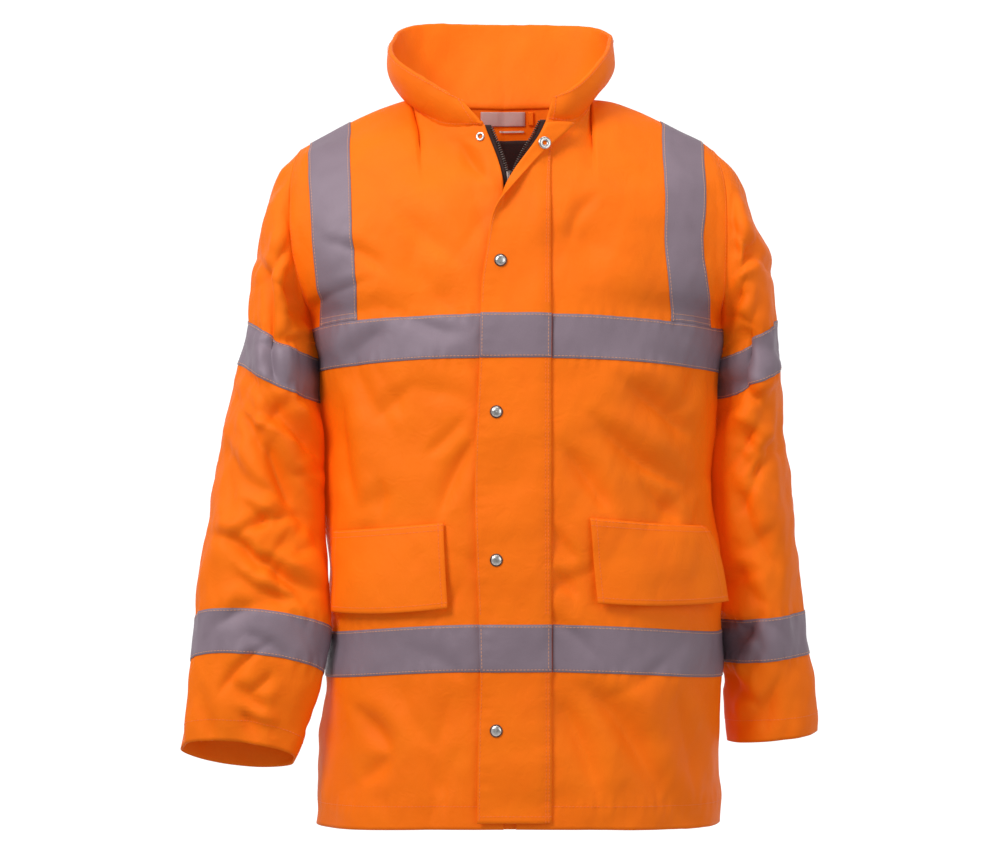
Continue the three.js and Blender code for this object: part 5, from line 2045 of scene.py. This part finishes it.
@dataclass
class PressStuds:
    """The domed stud caps, the post ring and the open socket."""

    form: JacketForm
    radius: float = 6.8
    height: float = 3.0
    ring_radius: float = 5.0
    hole: float = 2.4
    post_at: tuple[float, float] = (-29.0, -52.0)
    socket_level: float = -62.0

    def cap(self, number: int, place: np.ndarray, way: np.ndarray) -> None:
        """Builds one domed cap on its dark rim.

        Args:
            number: The cap's number from the top.
            place: The middle of its foot.
            way: The way out.
        """
        r, h = self.radius, self.height
        dome = [(0.001, 0.5)]
        dome += [(r * 0.84 * math.cos(a), 0.9 + (h - 0.9) * math.sin(a)) for a in np.linspace(0, 1.5, 9)]
        dome += [(0.001, h)]
        rim = [(r * 0.7, 0.0), (r * 0.96, 0.0), (r, 0.35), (r * 0.99, 0.9), (r * 0.9, 1.25), (r * 0.8, 1.0)]
        solid = turned(dome, place, way)
        piece(f"stud_dome_{number}", solid, SILVER, (f"stud_cap_{number}",))
        piece(f"stud_rim_{number}", turned(rim, place, way), DARK_METAL)

    def ring(self, name: str, node: str, radius: float, place: np.ndarray, way: np.ndarray) -> None:
        """Builds a rounded ring, such as a post's or a socket's.

        Args:
            name: The piece's name.
            node: The CAD node.
            radius: Its outer radius.
            place: The middle of its foot.
            way: The way out.
        """
        middle, thick = (radius + self.hole) / 2, (radius - self.hole) / 2
        around = np.linspace(0, 2 * math.pi, 14, endpoint=False)
        outline = [(middle + thick * math.cos(a), 0.8 + 0.8 * math.sin(a)) for a in around]
        piece(name, turned(outline, place, way), SILVER, (node,))

    def build(self, flap: StormFlap, grid: Grid) -> None:
        """Builds the caps, the post and the socket.

        Args:
            flap: The storm flap.
            grid: The flap's grid.
        """
        for i, (x, z) in enumerate(STUDS.rows):
            row = flap.row_near(z)
            column = nearest(grid.points[row, :, 0], x)
            normal = unit(grid.normals[row - 1:row + 2, column].mean(0))
            place = grid.points[row, column].copy()
            place[0] = x
            self.cap(i + 1, place + normal * (flap.thick + 0.1), normal)
        x, z = (np.array([value]) for value in self.post_at)
        post, out = self.form.body.seen(Face.FRONT, Hand.RIGHT, x, z)
        foot = post[0] + out[0] * (0.6 * unevenness(post)[0] + 0.3)
        self.ring("stud_post_ring", "stud_post", self.ring_radius, foot, out[0])
        row = flap.row_near(self.socket_level)
        column = grid.points.shape[1] - 4
        way = -grid.normals[row, column]
        foot = grid.points[row, column] + way * 0.2
        self.ring("stud_socket_ring", "stud_socket", self.radius, foot, way)


@dataclass
class NeckInside:
    """What shows inside the neck: the lining, the bare label, its white edge and the hanging loop."""

    form: JacketForm
    lift: float = 0.4
    lining_top: float = -36.0
    lining_half: int = 6

    def strip(self, box: tuple[float, float, float, float], out: float, count: int = 12) -> Grid:
        """Finds places on the inner side of the back.

        Args:
            box: The left, right, top and bottom of the strip.
            out: How far inwards from the back's outer face it lies.
            count: How many steps across and down.

        Returns:
            The grid.
        """
        left, right, top, low = box
        x, z = np.meshgrid(np.linspace(left, right, count + 1), np.linspace(top, low, count + 1))
        x, z = x.ravel(), z.ravel()
        points, normals = np.zeros((len(x), 3)), np.zeros((len(x), 3))
        for hand, chosen in ((Hand.RIGHT, x < -5), (Hand.LEFT, x >= -5)):
            if chosen.any():
                points[chosen], normals[chosen] = self.form.body.seen(Face.BACK, hand, x[chosen], z[chosen])
        points = points - normals * (out - unevenness(points))[:, None]
        return Grid.of(points.reshape(count + 1, count + 1, 3), (10, 0, -400))

    def build(self) -> None:
        """Builds the pieces."""
        label = self.strip((-30, 21, -5, -21), CLOTH + 2 * self.lift)
        made = piece("neck_label_cloth", wall(label, -0.8, 0.0, 0.2), LABEL_CLOTH, ("label",))
        declare_sheet(made, label)
        loop = self.strip((24, 31, -5, -20), CLOTH + 3 * self.lift)
        solid = wall(loop, -1.6, 0.0, 0.6)
        hanger = piece("hanger_loop_cloth", solid, ORANGE, ("hanger_loop",))
        edge = self.strip((-9, 20, -26, -28), CLOTH + 4 * self.lift)
        white = piece("white_edge_cloth", wall(edge, -0.5, 0.0, 0.1), WHITE_CLOTH)
        side, columns = self.form.side, self.lining_half * self.form.parts
        top = nearest(self.form.levels, self.lining_top)
        rows = slice(self.form.row_at("upper_chest"), top + 1)
        grid = self.form.grids["back"].part(rows, slice(side - columns, side + columns + 1))
        behind = -CLOTH - self.lift
        lining = wall(grid, behind - 1, behind)
        made = piece("back_lining_cloth", lining, DARK_CLOTH, ("lining_back",))
        declare_sheet(made, grid)


# The soft lights: a name, a place, what they point at, the side and the power
LIGHTS = (
    ("key", (-1.7, -1.9, 1.6), (0.0, 0.0, -0.4), 1.1, 67.0),
    ("fill", (2.2, -2.2, 0.4), (0.0, 0.0, -0.45), 1.8, 19.0),
    ("top", (0.3, -0.4, 2.1), (0.0, 0.0, -0.3), 1.2, 12.0),
)


@dataclass
class Studio:
    """The pale floor and backdrop, the soft lights and the camera."""

    camera_place: tuple[float, float, float] = (-0.0078, -3.0, -0.366)
    lens: float = 97.3
    floor: float = -1.45
    radius: float = 6.5
    bend: float = 1.6
    rim: float = 5.0
    turns: int = 48
    world_light: float = 0.42
    paper_glow: float = 0.98

    def build(self) -> None:
        """Builds the stage, the lights, the world and the camera."""
        self.backdrop()
        for light in LIGHTS:
            self.light(*light)
        world = bpy.data.worlds.new("pale_world")
        bpy.context.scene.world = world
        world.use_nodes = True
        sky = world.node_tree.nodes["Background"]
        sky.inputs["Color"].default_value = (1.0, 1.0, 1.0, 1.0)
        sky.inputs["Strength"].default_value = self.world_light
        data = bpy.data.cameras.new("camera")
        data.lens = self.lens
        data.sensor_width = 36.0
        data.dof.use_dof = False
        camera = bpy.data.objects.new("camera", data)
        camera.location = self.camera_place
        camera.rotation_euler = (math.radians(90), 0.0, 0.0)
        bpy.context.scene.collection.objects.link(camera)
        bpy.context.scene.camera = camera
        bpy.context.scene.view_settings.view_transform = "Standard"

    def backdrop(self) -> None:
        """Builds a round floor that bends up into a wall, brighter behind the jacket than in front."""
        angle = np.linspace(0, math.pi / 2, 13)
        foot = self.radius - self.bend
        out = np.concatenate([[0.4, 2.5], foot + self.bend * np.sin(angle), [self.radius]])
        up = np.concatenate([[self.floor] * 2, self.floor + self.bend * (1 - np.cos(angle)), [self.rim]])
        turn = np.linspace(0, 2 * math.pi, self.turns, endpoint=False)
        corners = [(r * math.cos(a), r * math.sin(a), z) for r, z in zip(out, up) for a in turn]
        faces = [
            tuple(
                base * self.turns + side % self.turns
                for base, side in ((row, i), (row, i + 1), (row + 1, i + 1), (row + 1, i))
            )
            for row in range(len(out) - 1) for i in range(self.turns)
        ]
        faces.append(tuple(range(self.turns)))
        mesh = bpy.data.meshes.new("backdrop")
        mesh.from_pydata(corners, [], faces)
        mesh.polygons.foreach_set("use_smooth", np.ones(len(faces), bool))
        material, nodes, shader = started("pale_paper")
        place = nodes.add("ShaderNodeTexCoord").outputs["Object"]
        wear = nodes.add("ShaderNodeGroup", node_tree=wear_group())
        nodes.link(place, wear.inputs["Vector"])
        shade = nodes.blend(wear.outputs["Mask"], (0.22, 0.22, 0.22), (0.26, 0.26, 0.26))
        nodes.link(shade, shader.inputs["Base Color"])
        shader.inputs["Roughness"].default_value = 0.9
        depth = nodes.add("ShaderNodeSeparateXYZ", {"Vector": place}).outputs["Y"]
        links = {"Value": depth, "From Min": -2.5, "From Max": 2.5}
        back = nodes.add("ShaderNodeMapRange", links).outputs[0]
        glow = nodes.blend(back, (0.2, 0.2, 0.2), (1.0, 1.0, 1.0))
        nodes.link(glow, shader.inputs["Emission Color"])
        shader.inputs["Emission Strength"].default_value = self.paper_glow
        material.cycles.emission_sampling = "NONE"
        mesh.materials.append(material)
        made = bpy.data.objects.new("backdrop", mesh)
        made.visible_diffuse = False
        made.visible_shadow = False
        bpy.context.scene.collection.objects.link(made)

    def light(
        self, name: str, place: Sequence[float], aim: Sequence[float], size: float, power: float,
    ) -> None:
        """Adds a soft square light.

        Args:
            name: The light's name.
            place: Where it stands, in metres.
            aim: What it points at.
            size: Its side.
            power: Its power in watts.
        """
        data = bpy.data.lights.new(name, "AREA")
        data.size = size
        data.energy = power
        made = bpy.data.objects.new(name, data)
        made.location = place
        way = np.array(aim) - np.array(place)
        flat = math.hypot(way[0], way[1])
        made.rotation_euler = (math.atan2(flat, -way[2]), 0.0, math.atan2(way[1], way[0]) - math.pi / 2)
        bpy.context.scene.collection.objects.link(made)


def main() -> None:
    """Builds the jacket and its studio in order."""
    logging.basicConfig(level=logging.INFO, format="%(message)s")
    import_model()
    Studio().build()
    form = JacketForm()
    orange = Sewing("orange_stitches", ORANGE_THREAD)
    pale = Sewing("tape_stitches", TAPE_THREAD)
    shells = Shells(form)
    shells.build()
    shells.sew(orange)
    tapes = Tapes(form)
    tapes.build(pale)
    for name, grid in form.grids.items():
        declare_sheet(shells.made[name], grid)
    Collar(form).build(orange)
    flap = StormFlap(form)
    flap_grid = flap.build(orange, pale)
    PocketFlaps(form).build(orange)
    Zip(form).build()
    PressStuds(form).build(flap, flap_grid)
    NeckInside(form).build()
    orange.build(Slot.ORANGE)
    pale.build(Slot.TAPE)


if __name__ == "__main__":
    main()
